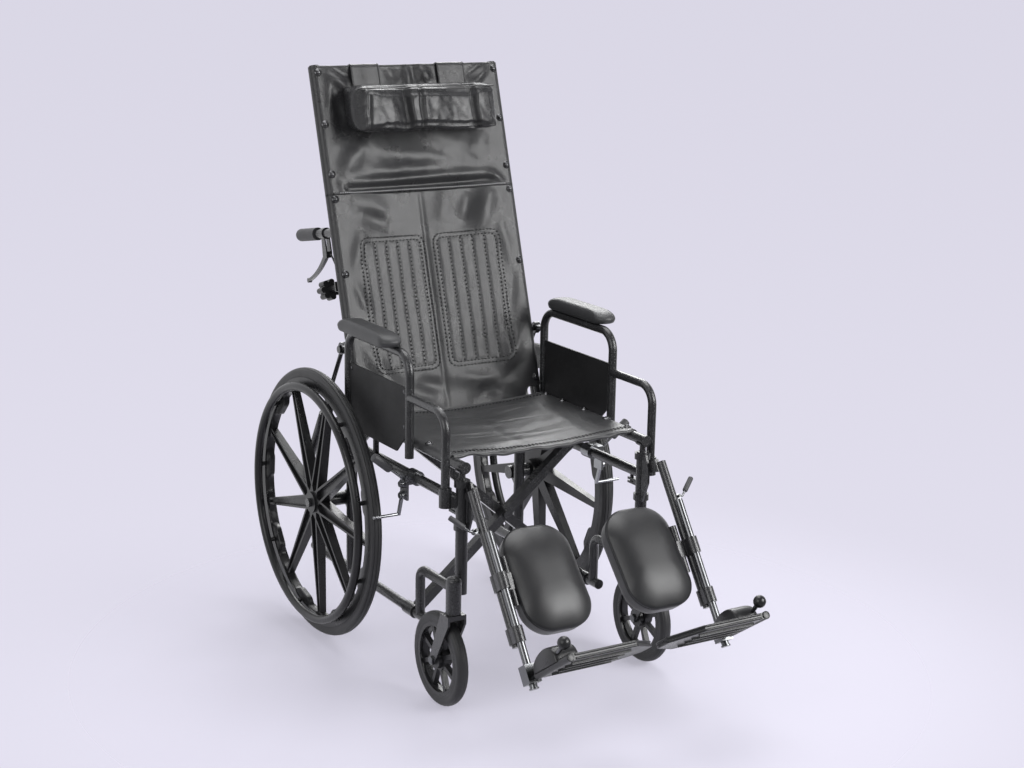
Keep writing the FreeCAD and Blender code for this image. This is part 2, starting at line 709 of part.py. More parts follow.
def cross_bar(bar_y):
    """A cross bar from the right lower tube up to the left seat rail, with its sleeve and its rail."""
    half = CROSS_BAR / 2
    across = CROSS_UP.cross(BACK) * half
    foot = Vec(LOW_PIVOT.x, bar_y - half, LOW_PIVOT.z) + CROSS_UP * (TUBE_R + SLEEVE_WALL / 2)
    head = Vec(RAIL_MIDDLE.x, bar_y - half, RAIL_MIDDLE.z) - CROSS_UP * (TUBE_R - TUBE_WALL / 2)
    bar = prism([foot - across, foot + across, head + across, head - across], BACK * CROSS_BAR)
    start = LOW_PIVOT - BACK * (SLEEVE_LENGTH / 2)
    end = LOW_PIVOT + BACK * (SLEEVE_LENGTH / 2)
    sleeve = ring(start, end, TUBE_R + SLEEVE_WALL, TUBE_R + RUN_FIT)
    rail_front = Vec(FRAME_X, RAIL_FRONT_Y, RAIL_Z)
    rail_rear = Vec(FRAME_X, RAIL_REAR_Y, RAIL_Z)
    rail = ring(rail_front, rail_rear, TUBE_R, TUBE_R - TUBE_WALL)
    cap = fuse([rod(rail_front, rail_front + BACK * CAP_LENGTH, TUBE_R - TUBE_WALL),
                rod(rail_front - BACK * CAP_LIP, rail_front, TUBE_R + CAP_EDGE)])
    return fuse([bar, sleeve, rail]), cap


def cross_bar_front():
    """The front cross bar, with the bolt that joins the two bars."""
    bar_y = CROSS_Y - (CROSS_BAR + CROSS_SPACE) / 2
    bar, cap = cross_bar(bar_y)
    front = Vec(CROSS_CENTRE.x, bar_y - CROSS_BAR / 2, CROSS_CENTRE.z)
    rear = front + BACK * (2 * CROSS_BAR + CROSS_SPACE + GAP)
    bolt = rod(front - BACK * CROSS_HEAD, rear + BACK * CROSS_HEAD, CROSS_BOLT_R)
    head = rod(front - BACK * CROSS_HEAD, front, CROSS_HEAD_R)
    nut = rod(rear, rear + BACK * CROSS_HEAD, CROSS_HEAD_R)
    return Part.makeCompound([fuse([bar, bolt, head, nut]), cap])


def cross_bar_rear():
    """The rear cross bar, from the left lower tube to the right seat rail, bored for the bolt."""
    bar_y = CROSS_Y + (CROSS_BAR + CROSS_SPACE) / 2
    bar, cap = cross_bar(bar_y)
    middle = Vec(CROSS_CENTRE.x, bar_y, CROSS_CENTRE.z)
    bar = bar.cut(rod(middle - BACK * CROSS_BAR, middle + BACK * CROSS_BAR, CROSS_BOLT_R + RUN_FIT))
    return mirrored(Part.makeCompound([bar, cap]))


def handle_point(along, below=0.0):
    """A point along the push handle's axis, some way below it."""
    return cane_point(CANE_X, HANDLE_ALONG) + HANDLE_BACK * along + HANDLE_BACK.cross(SIDE) * below


LEVER_PIN = handle_point(LEVER_ALONG, LEVER_DROP)
CABLE_STOP = LEVER_ALONG - LEVER_EYE_R - 2 * LEVER_EAR


def back_cane():
    """The back cane with its push handle tube, strut pin and lever bracket."""
    foot = cane_point(CANE_X, -CANE_FOOT)
    top = cane_point(CANE_X, CANE_LENGTH)
    stub = rod(handle_point(0), handle_point(HANDLE_LENGTH - GRIP_END), HANDLE_TUBE_R)
    pin_start = cane_point(CANE_X, STRUT_ARM)
    pin = rod(pin_start, STRUT_PIN + SIDE * (EYE_WIDTH / 2 + GAP), ROD_R)
    pin_head = rod(STRUT_PIN + SIDE * (EYE_WIDTH / 2 + GAP),
                   STRUT_PIN + SIDE * (EYE_WIDTH / 2 + GAP + BOLT_HEAD), BOLT_HEAD_R)
    ears = []
    for x in (-LEVER_THICK / 2 - GAP - LEVER_EAR, LEVER_THICK / 2 + GAP):
        shift = SIDE * x
        ears.append(prism([
            handle_point(LEVER_ALONG - LEVER_EYE_R) + shift,
            handle_point(LEVER_ALONG + LEVER_EYE_R) + shift,
            handle_point(LEVER_ALONG + LEVER_EYE_R, LEVER_DROP + LEVER_EYE_R) + shift,
            handle_point(CABLE_STOP, LEVER_DROP + LEVER_EYE_R) + shift,
            handle_point(CABLE_STOP, LEVER_DROP - LEVER_EYE_R) + shift,
        ], SIDE * LEVER_EAR))
    reach = SIDE * (LEVER_THICK / 2 + GAP + LEVER_EAR)
    stop = prism([
        handle_point(CABLE_STOP, LEVER_DROP - LEVER_EYE_R) - reach,
        handle_point(CABLE_STOP + LEVER_EAR, LEVER_DROP - LEVER_EYE_R) - reach,
        handle_point(CABLE_STOP + LEVER_EAR, LEVER_DROP + LEVER_EYE_R) - reach,
        handle_point(CABLE_STOP, LEVER_DROP + LEVER_EYE_R) - reach,
    ], reach * 2)
    lever_pin = rod(LEVER_PIN - reach, LEVER_PIN + reach, LEVER_PIN_R)
    clamp = rod(handle_point(LEVER_ALONG - LEVER_RING / 2), handle_point(LEVER_ALONG + LEVER_RING / 2),
                HANDLE_TUBE_R + LEVER_EAR)
    cane = fuse([rod(foot, top, CANE_R), stub, pin, pin_head, lever_pin, clamp, stop] + ears)
    cane = cane.cut(rod(foot, top, CANE_R - TUBE_WALL))
    hinge = cane_point(CANE_X, 0)
    return cane.cut(rod(hinge - SIDE * (2 * CANE_R), hinge + SIDE * (2 * CANE_R), PIVOT_R + RUN_FIT))


def spreader_point(x, up, back):
    """A point given by its X, its height above the spreader bar's middle and its distance behind the cane."""
    return cane_point(x, SPREADER_ALONG + up, -back)


def back_cane_left():
    """The left cane, with the ears and the pin that the spreader bar swings on."""
    ear_low = SPREADER_HEIGHT / 2 + GAP
    half = SIDE * SPREADER_EYE_R
    root_back = CANE_R - TUBE_WALL / 2
    end_back = SPREADER_BACK + SPREADER_EYE_R
    pieces = [back_cane()]
    for up in (ear_low, -ear_low - SPREADER_EAR):
        root = spreader_point(CANE_X, up, root_back)
        end = spreader_point(CANE_X, up, end_back)
        pieces.append(prism([root - half, root + half, end + half, end - half], CANE_UP * SPREADER_EAR))
    reach = ear_low + SPREADER_EAR
    pin_low = spreader_point(CANE_X, -reach, SPREADER_BACK)
    pin_high = spreader_point(CANE_X, reach, SPREADER_BACK)
    pieces.append(rod(pin_low, pin_high, SPREADER_PIN_R))
    return fuse(pieces)


def hand_grip():
    """The ribbed grip on the push handle, closed and rounded at its end."""
    start = handle_point(GRIP_START)
    end = handle_point(HANDLE_LENGTH)
    body = rod(start, end, GRIP_R)
    body = body.makeFillet(GRIP_ROUND, [body.Edges[0]])
    pitch = (HANDLE_LENGTH - GRIP_START - GRIP_END) / (GRIP_RIBS + 1)
    for number in range(1, GRIP_RIBS + 1):
        middle = handle_point(GRIP_START + pitch * number, GRIP_R + GRIP_GROOVE)
        body = body.cut(rod(middle - SIDE * GRIP_R, middle + SIDE * GRIP_R, 2 * GRIP_GROOVE))
    return body.cut(rod(handle_point(0), handle_point(HANDLE_LENGTH - GRIP_END), HANDLE_TUBE_R + RUN_FIT))


def recline_lever():
    """The curved squeeze lever under the handle, turning on the bracket's pin."""
    half = SIDE * (LEVER_THICK / 2)
    eye = rod(LEVER_PIN - half, LEVER_PIN + half, LEVER_EYE_R)

    def at(along, below):
        return LEVER_PIN - half + HANDLE_BACK * along + HANDLE_BACK.cross(SIDE) * below

    outer_start, outer_end = at(0, LEVER_EYE_R), at(LEVER_REACH, LEVER_FALL)
    inner_start, inner_end = at(LEVER_EYE_R, -LEVER_EYE_R / 2), at(LEVER_REACH, LEVER_FALL - LEVER_EYE_R)
    bow = LEVER_EYE_R * 2
    outer_mid = (outer_start + outer_end) * 0.5 + HANDLE_BACK.cross(SIDE) * bow * 0.5
    inner_mid = (inner_start + inner_end) * 0.5 + HANDLE_BACK.cross(SIDE) * bow * 0.7
    outline = Part.Wire([
        Part.Arc(outer_start, outer_mid, outer_end).toShape(),
        Part.LineSegment(outer_end, inner_end).toShape(),
        Part.Arc(inner_end, inner_mid, inner_start).toShape(),
        Part.LineSegment(inner_start, outer_start).toShape(),
    ])
    blade = Part.Face(outline).extrude(half * 2)
    tip = (outer_end + inner_end) * 0.5
    knob = rod(tip, tip + half * 2, LEVER_EYE_R * 0.8)
    lever = fuse([eye, blade, knob])
    return lever.cut(rod(LEVER_PIN - half * 2, LEVER_PIN + half * 2, LEVER_PIN_R + RUN_FIT))


def recline_cable():
    """The release cable's outer, from the lever bracket to the cane that it goes down."""
    start = handle_point(CABLE_STOP - GAP, LEVER_DROP)
    entry = HANDLE_ALONG - CABLE_ENTRY
    first_bend = start - HANDLE_BACK * CABLE_RUN
    last_bend = cane_point(CANE_X, entry, -CANE_R - CABLE_RUN)
    cane_rear = cane_point(CANE_X, entry, -CANE_R - GAP)
    return bent_rod([start, first_bend, last_bend, cane_rear], CABLE_R, 2 * CABLE_R)


def gas_cylinder():
    """The strut's cylinder, with the trunnion pin that turns in the frame's bracket."""
    low = TRUNNION - STRUT_UP * CYLINDER_BELOW
    high = TRUNNION + STRUT_UP * CYLINDER_ABOVE
    body = rod(low, high, CYLINDER_R)
    pin = rod(Vec(HINGE_PLATE_X - GAP, TRUNNION.y, TRUNNION.z),
              Vec(STRUT_X - CYLINDER_R / 2, TRUNNION.y, TRUNNION.z), TRUNNION_R)
    bore = rod(low + STRUT_UP * CYLINDER_WALL, high + STRUT_UP, ROD_R + RUN_FIT)
    return fuse([body, pin]).cut(bore)


def gas_rod():
    """The strut's rod, with the slotted eye that takes up the swing of the cane's pin."""
    half = SIDE * (EYE_WIDTH / 2)
    body = rod(STRUT_PIN - STRUT_UP * ROD_LENGTH, STRUT_PIN - STRUT_UP * (EYE_R - OVERLAP), ROD_R)
    across = STRUT_UP.cross(SIDE)
    hole_r = ROD_R + RUN_FIT

    def stadium(radius):
        ends = [STRUT_PIN - half, STRUT_PIN - half + STRUT_UP * EYE_SLOT]
        web = prism([ends[0] + across * radius, ends[1] + across * radius,
                     ends[1] - across * radius, ends[0] - across * radius], half * 2)
        return fuse([web] + [rod(end, end + half * 2, radius) for end in ends])

    return fuse([body, stadium(EYE_R)]).cut(stadium(hole_r))


def spreader_bar():
    """The flat bar behind the back: an eye on the left cane's pin and a boss against the right cane."""
    low = -SPREADER_HEIGHT / 2
    front_back = SPREADER_BACK - SPREADER_THICK / 2
    rear_back = SPREADER_BACK + SPREADER_THICK / 2
    end_x = -CANE_X - SPREADER_BOSS_R - SPREADER_EAR
    outline = [spreader_point(x, low, back) for x, back in (
        (CANE_X, front_back), (end_x, front_back), (end_x, rear_back), (CANE_X, rear_back))]
    bar = prism(outline, CANE_UP * SPREADER_HEIGHT)
    pin_low = spreader_point(CANE_X, low, SPREADER_BACK)
    eye = rod(pin_low, pin_low + CANE_UP * SPREADER_HEIGHT, SPREADER_EYE_R)
    boss = rod(spreader_point(-CANE_X, 0, CANE_R + GAP), spreader_point(-CANE_X, 0, SPREADER_BACK),
               SPREADER_BOSS_R)
    bar = fuse([bar, eye, boss])
    bar = bar.cut(rod(pin_low - CANE_UP, pin_low + CANE_UP * (2 * SPREADER_HEIGHT), SPREADER_PIN_R + RUN_FIT))
    return bar.cut(rod(spreader_point(-CANE_X, 0, 0), spreader_point(-CANE_X, 0, STUD_LENGTH),
                       STUD_R + RUN_FIT))


def star_knob():
    """The lobed hand knob with its neck and stud, which hold the spreader bar against the right cane."""
    def at(back):
        return spreader_point(CANE_X, 0, back)

    axis = CANE_FRONT * -1
    face = at(KNOB_START)
    pieces = [
        rod(face, at(KNOB_START + KNOB_LENGTH), KNOB_R - KNOB_LOBE_R),
        rod(at(SPREADER_BACK + SPREADER_THICK / 2 + GAP), at(KNOB_START + GAP), KNOB_NECK_R),
        rod(at(CANE_R + GAP), at(STUD_LENGTH), STUD_R),
    ]
    for number in range(KNOB_LOBES):
        turn = 2 * math.pi * number / KNOB_LOBES
        offset = (SIDE * math.cos(turn) + CANE_UP * math.sin(turn)) * (KNOB_R - KNOB_LOBE_R)
        pieces.append(rod(face + offset, face + offset + axis * KNOB_LENGTH, KNOB_LOBE_R))
    return mirrored(fuse(pieces))


def arm_frame():
    """The arm tube: rear post, top and middle post in one bent tube, with the step tube to the front post."""
    main = bent_rod([
        Vec(ARM_X, ARM_REAR_Y, ARM_FOOT_Z),
        Vec(ARM_X, ARM_REAR_Y, ARM_TOP_Z),
        Vec(ARM_X, ARM_MID_Y, ARM_TOP_Z),
        Vec(ARM_X, ARM_MID_Y, ARM_MID_BOTTOM),
    ], ARM_R, ARM_BEND_R)
    step = bent_rod([
        Vec(ARM_X, ARM_MID_Y, ARM_STEP_Z),
        Vec(ARM_X, ARM_FRONT_Y, ARM_STEP_Z),
        Vec(ARM_X, ARM_FRONT_Y, ARM_FOOT_Z),
    ], ARM_R - GAP, ARM_BEND_R)
    return fuse([main, step])


def arm_pad():
    """The padded arm top: a crowned form with rounded ends, seated on the arm tube."""
    seat_z = ARM_TOP_Z + ARM_R + GAP
    centre = Vec(ARM_X + PAD_OFFSET, PAD_Y, seat_z)
    h = PAD_HEIGHT
    levels = [(0, 4), (0.3 * h, 0), (0.65 * h, 2), (0.9 * h, 8), (h, 15)]
    return cushion(centre, SIDE, BACK, PAD_WIDTH / 2, PAD_LENGTH / 2, PAD_CORNER, levels)


def skirt_guard():
    """The flat side panel between the arm's rear and middle posts, with its cut front lower corner."""
    rear = ARM_REAR_Y - ARM_R - GAP
    front = ARM_MID_Y + ARM_R + GAP
    x = ARM_X - GUARD_THICK / 2
    panel = prism([
        Vec(x, rear, GUARD_BOTTOM),
        Vec(x, rear, GUARD_TOP),
        Vec(x, front, GUARD_TOP),
        Vec(x, front, GUARD_BOTTOM + GUARD_CUT),
        Vec(x, front + GUARD_CUT, GUARD_BOTTOM),
    ], SIDE * GUARD_THICK)
    return panel


LOCK_EYE_X = LOCK_PLATE_X + PLATE + GAP


def lock_clamp():
    """The wheel lock's clamp on the upper tube, its side plate and its two pins."""
    half = LOCK_BLOCK / 2
    middle = Vec(FRAME_X, LOCK_Y, UPPER_Z)
    clamp = rod(middle - BACK * half, middle + BACK * half, TUBE_R + LOCK_RING_WALL)
    low_z = LOCK_SHOE_Z - LOCK_EYE_R
    plate = block(Vec(LOCK_PLATE_X, LOCK_Y - half, low_z),
                  Vec(LOCK_PLATE_X + PLATE, LOCK_Y + half, UPPER_Z + TUBE_R))
    bridge = block(Vec(FRAME_X + TUBE_R, LOCK_Y - half, UPPER_Z - TUBE_R),
                   Vec(LOCK_PLATE_X + PLATE, LOCK_Y + half, UPPER_Z + TUBE_R))
    pins = []
    for z in (LOCK_LEVER_Z, LOCK_SHOE_Z):
        start = Vec(LOCK_PLATE_X, LOCK_Y, z)
        neck = start + SIDE * (PLATE + 2 * GAP + LOCK_EYE)
        pins.append(rod(start, neck, LOCK_PIN_R))
        pins.append(rod(neck, neck + SIDE * BOLT_HEAD, LOCK_HEAD_R))
    return fuse([clamp, plate, bridge] + pins).cut(
        rod(middle - BACK * LOCK_BLOCK, middle + BACK * LOCK_BLOCK, TUBE_R + RUN_FIT))


def lock_eye(z):
    """An eye on one of the wheel lock's pins."""
    start = Vec(LOCK_EYE_X, LOCK_Y, z)
    return rod(start, start + SIDE * LOCK_EYE, LOCK_EYE_R)


def lock_hole(z):
    """The hole of an eye on one of the wheel lock's pins."""
    start = Vec(LOCK_EYE_X, LOCK_Y, z)
    return rod(start - SIDE * LOCK_EYE, start + SIDE * (2 * LOCK_EYE), LOCK_PIN_R + RUN_FIT)


def lock_lever():
    """The wheel lock's hand lever, bent outwards, with its grip."""
    root = Vec(LOCK_EYE_X + LOCK_EYE / 2, LOCK_Y, LOCK_LEVER_Z)
    rise = root + UP * (LOCK_EYE_R + LOCK_LEVER_R)
    end = root + SIDE * LOCK_REACH_X + UP * LOCK_REACH_Z
    outward = (end - rise).normalize()
    bar = bent_rod([root + UP * (LOCK_PIN_R + OVERLAP), rise, end], LOCK_ROD_R, LOCK_LEVER_R)
    lever = fuse([lock_eye(LOCK_LEVER_Z), bar]).cut(lock_hole(LOCK_LEVER_Z))
    grip = rod(end - outward * (LOCK_GRIP / 2), end + outward * (LOCK_GRIP / 2), LOCK_GRIP_R)
    return fuse([lever, grip])


def lock_shoe():
    """The wheel lock's shoe: an arm with a round bar across the front of the tyre."""
    root = Vec(LOCK_EYE_X, LOCK_Y, LOCK_SHOE_Z)
    end = root + BACK * SHOE_BACK - UP * SHOE_FALL
    half = Vec(0, SHOE_FALL, SHOE_BACK).normalize() * SHOE_R
    arm = prism([root - half, root + half, end + half, end - half], SIDE * LOCK_EYE)
    bar = rod(end, Vec(SHOE_END_X, end.y, end.z), SHOE_R)
    return fuse([lock_eye(LOCK_SHOE_Z), arm, bar]).cut(lock_hole(LOCK_SHOE_Z))


LEG_PIVOT = leg_point(HANGER_X, LEG_PIVOT_T, LEG_PIVOT_E)
TAB_X = HANGER_X + PLATE + GAP


def leg_hanger():
    """The swing-away hanger: two collars on the front upright, a plate and the elevation pivot bolt."""
    front = FRONT_UPRIGHT_Y - UPRIGHT_R - 2 * GAP
    pieces = []
    for z in (COLLAR_LOWER_Z, COLLAR_UPPER_Z):
        start = Vec(FRAME_X, FRONT_UPRIGHT_Y, z)
        pieces.append(rod(start, start + UP * COLLAR_HEIGHT, UPRIGHT_R + COLLAR_WALL))
        pieces.append(block(Vec(HANGER_X, front - COLLAR_WALL, z),
                            Vec(FRAME_X, FRONT_UPRIGHT_Y, z + COLLAR_HEIGHT)))
    top = COLLAR_UPPER_Z + COLLAR_HEIGHT
    pieces.append(prism([
        Vec(HANGER_X, front, COLLAR_LOWER_Z),
        Vec(HANGER_X, front, top),
        Vec(HANGER_X, LEG_PIVOT.y, top),
        Vec(HANGER_X, LEG_PIVOT.y - LEG_TAB_R, LEG_PIVOT.z),
        Vec(HANGER_X, front - HANGER_FRONT / 2, COLLAR_LOWER_Z + HANGER_FRONT),
        Vec(HANGER_X, front - COLLAR_WALL, COLLAR_LOWER_Z),
    ], SIDE * PLATE))
    neck = LEG_PIVOT + SIDE * (2 * PLATE + 2 * GAP)
    pieces.append(rod(LEG_PIVOT, neck, PIVOT_R))
    pieces.append(rod(neck, neck + SIDE * BOLT_HEAD, BOLT_HEAD_R))
    upright = rod(Vec(FRAME_X, FRONT_UPRIGHT_Y, 0), Vec(FRAME_X, FRONT_UPRIGHT_Y, RAIL_Z),
                  UPRIGHT_R + RUN_FIT)
    return fuse(pieces).cut(upright)


def leg_clamp(t, length):
    """A clamp block round the leg tube and the slide tube."""
    wall = LEG_TUBE_R + CLAMP_WALL
    outline = []
    low = leg_point(LEG_X, t)
    for e, half in ((LEG_TUBE_E, wall), (SLIDE_E, SLIDE_R + CLAMP_WALL)):
        outline.append(rod(low + LEG_FRONT * e, low + LEG_FRONT * e + LEG_UP * length, half))
    inner = SLIDE_R + CLAMP_WALL
    web = prism([low + LEG_FRONT * LEG_TUBE_E + SIDE * inner, low + LEG_FRONT * LEG_TUBE_E - SIDE * inner,
                 low + LEG_FRONT * SLIDE_E - SIDE * inner, low + LEG_FRONT * SLIDE_E + SIDE * inner],
                LEG_UP * length)
    return fuse(outline + [web])


def calf_pin_ends():
    """The lower and upper end of the calf pad's swing pin."""
    overlap = CLAMP_LENGTH
    return (leg_point(CALF_PIN_X, CLAMP_T - overlap, LEG_TUBE_E),
            leg_point(CALF_PIN_X, CLAMP_T + 2 * overlap, LEG_TUBE_E))


def leg_tube():
    """The elevating leg tube with its pivot tab, its two clamps, the calf pin and the lever's post."""
    low = leg_point(LEG_X, LEG_TUBE_LOW, LEG_TUBE_E)
    high = leg_point(LEG_X, LEG_TUBE_HIGH, LEG_TUBE_E)
    tube = rod(low, high, LEG_TUBE_R)
    pivot = Vec(TAB_X, LEG_PIVOT.y, LEG_PIVOT.z)
    reach = LEG_FRONT * (LEG_TUBE_E - LEG_PIVOT_E)
    half = LEG_UP * LEG_TAB_R
    tab = prism([pivot - half, pivot + half * 0.6, pivot + half * 0.6 + reach, pivot - half * 2 + reach],
                SIDE * PLATE)
    eye = rod(pivot, pivot + SIDE * PLATE, LEG_TAB_R)
    weld = prism([pivot - half + reach * 0.7, pivot + half * 0.6 + reach * 0.7,
                  pivot + half * 0.6 + reach, pivot - half * 2 + reach], SIDE * (LEG_X - TAB_X - PLATE))
    pin_low, pin_high = calf_pin_ends()
    arm_half = LEG_FRONT * (1.5 * CALF_PIN_R)
    arm_root = leg_point(LEG_X, CLAMP_T, LEG_TUBE_E)
    arm_end = leg_point(CALF_PIN_X - 1.5 * CALF_PIN_R, CLAMP_T, LEG_TUBE_E)
    arm = prism([arm_root - arm_half, arm_root + arm_half, arm_end + arm_half, arm_end - arm_half],
                LEG_UP * CLAMP_LENGTH)
    post_x = LEG_X + LEG_TUBE_R + 2 * ELEVATOR_PIN_R
    ear = rod(leg_point(post_x, ELEVATOR_T, LEG_TUBE_E - 2 * ELEVATOR_PIN_R),
              leg_point(post_x, ELEVATOR_T, LEG_TUBE_E - 4 * ELEVATOR_PIN_R), 2 * ELEVATOR_PIN_R)
    ear_web = prism([
        leg_point(LEG_X, ELEVATOR_T - 2 * ELEVATOR_PIN_R, LEG_TUBE_E - 4 * ELEVATOR_PIN_R),
        leg_point(LEG_X, ELEVATOR_T + 2 * ELEVATOR_PIN_R, LEG_TUBE_E - 4 * ELEVATOR_PIN_R),
        leg_point(post_x, ELEVATOR_T + 2 * ELEVATOR_PIN_R, LEG_TUBE_E - 4 * ELEVATOR_PIN_R),
        leg_point(post_x, ELEVATOR_T - 2 * ELEVATOR_PIN_R, LEG_TUBE_E - 4 * ELEVATOR_PIN_R),
    ], LEG_FRONT * (2 * ELEVATOR_PIN_R))
    ear_pin = rod(leg_point(post_x, ELEVATOR_T, LEG_TUBE_E - 4 * ELEVATOR_PIN_R),
                  leg_point(post_x, ELEVATOR_T, LEG_TUBE_E + 2 * ELEVATOR_PIN_R), ELEVATOR_PIN_R)
    leg = fuse([tube, tab, eye, weld, arm, rod(pin_low, pin_high, CALF_PIN_R), ear, ear_web, ear_pin,
                leg_clamp(CLAMP_T, CLAMP_LENGTH), leg_clamp(LOW_CLAMP_T, LOW_CLAMP_LENGTH)])
    leg = leg.cut(rod(leg_point(LEG_X, 0, SLIDE_E), leg_point(LEG_X, SLIDE_HIGH, SLIDE_E),
                      SLIDE_R + SLIDE_FIT))
    return leg.cut(rod(pivot - SIDE * PLATE, pivot + SIDE * (2 * PLATE), PIVOT_R + RUN_FIT))


def elevation_lever():
    """The lever that frees the leg rest's height, reaching outwards and up to its grip."""
    x = LEG_X + LEG_TUBE_R + 2 * ELEVATOR_PIN_R
    thick = LEG_FRONT * (2 * ELEVATOR_PIN_R - 2 * GAP)
    low = leg_point(x, ELEVATOR_T, LEG_TUBE_E - 2 * ELEVATOR_PIN_R + GAP)
    eye = rod(low, low + thick, 2 * ELEVATOR_PIN_R)
    middle = low + thick * 0.5
    root = middle + SIDE * (ELEVATOR_PIN_R + OVERLAP)
    corner = middle + SIDE * (4 * ELEVATOR_PIN_R)
    end = middle + SIDE * ELEVATOR_OUT + LEG_UP * ELEVATOR_UP
    bar = bent_rod([root, corner, end], ELEVATOR_ROD_R - 2 * GAP, 2 * ELEVATOR_ROD_R)
    outward = (end - corner).normalize()
    grip = rod(end - outward * ELEVATOR_GRIP, end + outward * 2, ELEVATOR_GRIP_R)
    lever = fuse([eye, bar, grip])
    return lever.cut(rod(low - thick, low + thick * 2, ELEVATOR_PIN_R + RUN_FIT))


FOOT_AXIS_LOW = leg_point(FOOT_HINGE_X, FOOT_HINGE_T, 0)
FOOT_LUG_END = SLIDE_E + SLIDE_R + FOOT_CLAMP_WALL


def leg_slide():
    """The chrome slide tube with the clamp and hinge pin that carry the footplate."""
    tube = rod(leg_point(LEG_X, 0, SLIDE_E), leg_point(LEG_X, SLIDE_HIGH, SLIDE_E), SLIDE_R)
    cap = rod(leg_point(LEG_X, -CAP_LIP, SLIDE_E), leg_point(LEG_X, 0, SLIDE_E), SLIDE_R + SLIDE_CAP_EDGE)
    half = SLIDE_R + FOOT_CLAMP_WALL
    outline = [leg_point(LEG_X + side, FOOT_CLAMP_LOW, e) for side, e in (
        (-half, SLIDE_E - half), (half, SLIDE_E - half), (half, FOOT_LUG_END), (-half, FOOT_LUG_END))]
    clamp = prism(outline, LEG_UP * (FOOT_CLAMP_HIGH - FOOT_CLAMP_LOW))
    pin = rod(FOOT_AXIS_LOW + LEG_FRONT * SLIDE_E, FOOT_AXIS_LOW + LEG_FRONT * FOOT_FRONT_E, FOOT_PIN_R)
    return fuse([tube, cap, clamp, pin])


def footplate():
    """The footplate with its hinge barrel, its tapered inner end, ribs underneath and the ball-ended lift."""
    top_t = FOOT_HINGE_T + FOOT_THICK / 2
    low_t = FOOT_HINGE_T - FOOT_THICK / 2
    rear = max(FOOT_REAR_E, FOOT_LUG_END + GAP)
    outline = [leg_point(x, low_t, e) for x, e in (
        (FOOT_HINGE_X, rear),
        (FOOT_INNER_X + FOOT_TIP, rear),
        (FOOT_INNER_X, rear + FOOT_TAPER),
        (FOOT_INNER_X, FOOT_FRONT_E - FOOT_TAPER),
        (FOOT_INNER_X + FOOT_TIP, FOOT_FRONT_E),
        (FOOT_HINGE_X, FOOT_FRONT_E),
    )]
    plate = prism(outline, LEG_UP * FOOT_THICK)
    barrel = rod(FOOT_AXIS_LOW + LEG_FRONT * rear, FOOT_AXIS_LOW + LEG_FRONT * FOOT_FRONT_E, FOOT_HINGE_R)
    pieces = [plate, barrel]
    spacing = (FOOT_FRONT_E - rear) / (FOOT_RIBS + 1)
    guard_x = FOOT_HINGE_X - 2 * FOOT_HINGE_R
    tip_x = FOOT_INNER_X + FOOT_TIP
    for number in range(1, FOOT_RIBS + 1):
        behind = rear + spacing * number - FOOT_RIB / 2
        ahead = behind + FOOT_RIB
        corners = [(tip_x, behind), (guard_x, behind), (guard_x, ahead), (tip_x, ahead)]
        foot = [leg_point(x, low_t - FOOT_RIB, e) for x, e in corners]
        pieces.append(prism(foot, LEG_UP * (2 * FOOT_RIB)))
    pieces.append(prism([
        leg_point(guard_x, top_t - OVERLAP, rear),
        leg_point(guard_x, top_t + BALL_RISE * 0.6, rear + FOOT_TIP * 0.4),
        leg_point(guard_x, top_t + BALL_RISE, rear + FOOT_TIP),
        leg_point(guard_x, top_t - OVERLAP, rear + 1.6 * FOOT_TIP),
    ], SIDE * PLATE))
    ball = leg_point(FOOT_HINGE_X, FOOT_HINGE_T + BALL_RISE, BALL_E)
    stem_root = leg_point(FOOT_HINGE_X, FOOT_HINGE_T + FOOT_HINGE_R - OVERLAP, rear + FOOT_TIP)
    pieces.append(rod(stem_root, ball, FOOT_PIN_R))
    pieces.append(Part.makeSphere(BALL_R, ball))
    hole = rod(FOOT_AXIS_LOW, FOOT_AXIS_LOW + LEG_FRONT * (2 * FOOT_FRONT_E), FOOT_PIN_R + RUN_FIT)
    return fuse(pieces).cut(hole)


CALF_UP = Vec(0, math.sin(math.radians(LEG_ANGLE + CALF_LEAN)), math.cos(math.radians(LEG_ANGLE + CALF_LEAN)))
CALF_FRONT = Vec(0, -CALF_UP.z, CALF_UP.y)
CALF_CENTRE = leg_point(CALF_X, CALF_T)


def calf_point(across, along, front):
    """A point given by its distances from the calf pad's centre, in the pad's own leaning directions."""
    return CALF_CENTRE + SIDE * across + CALF_UP * along + CALF_FRONT * front


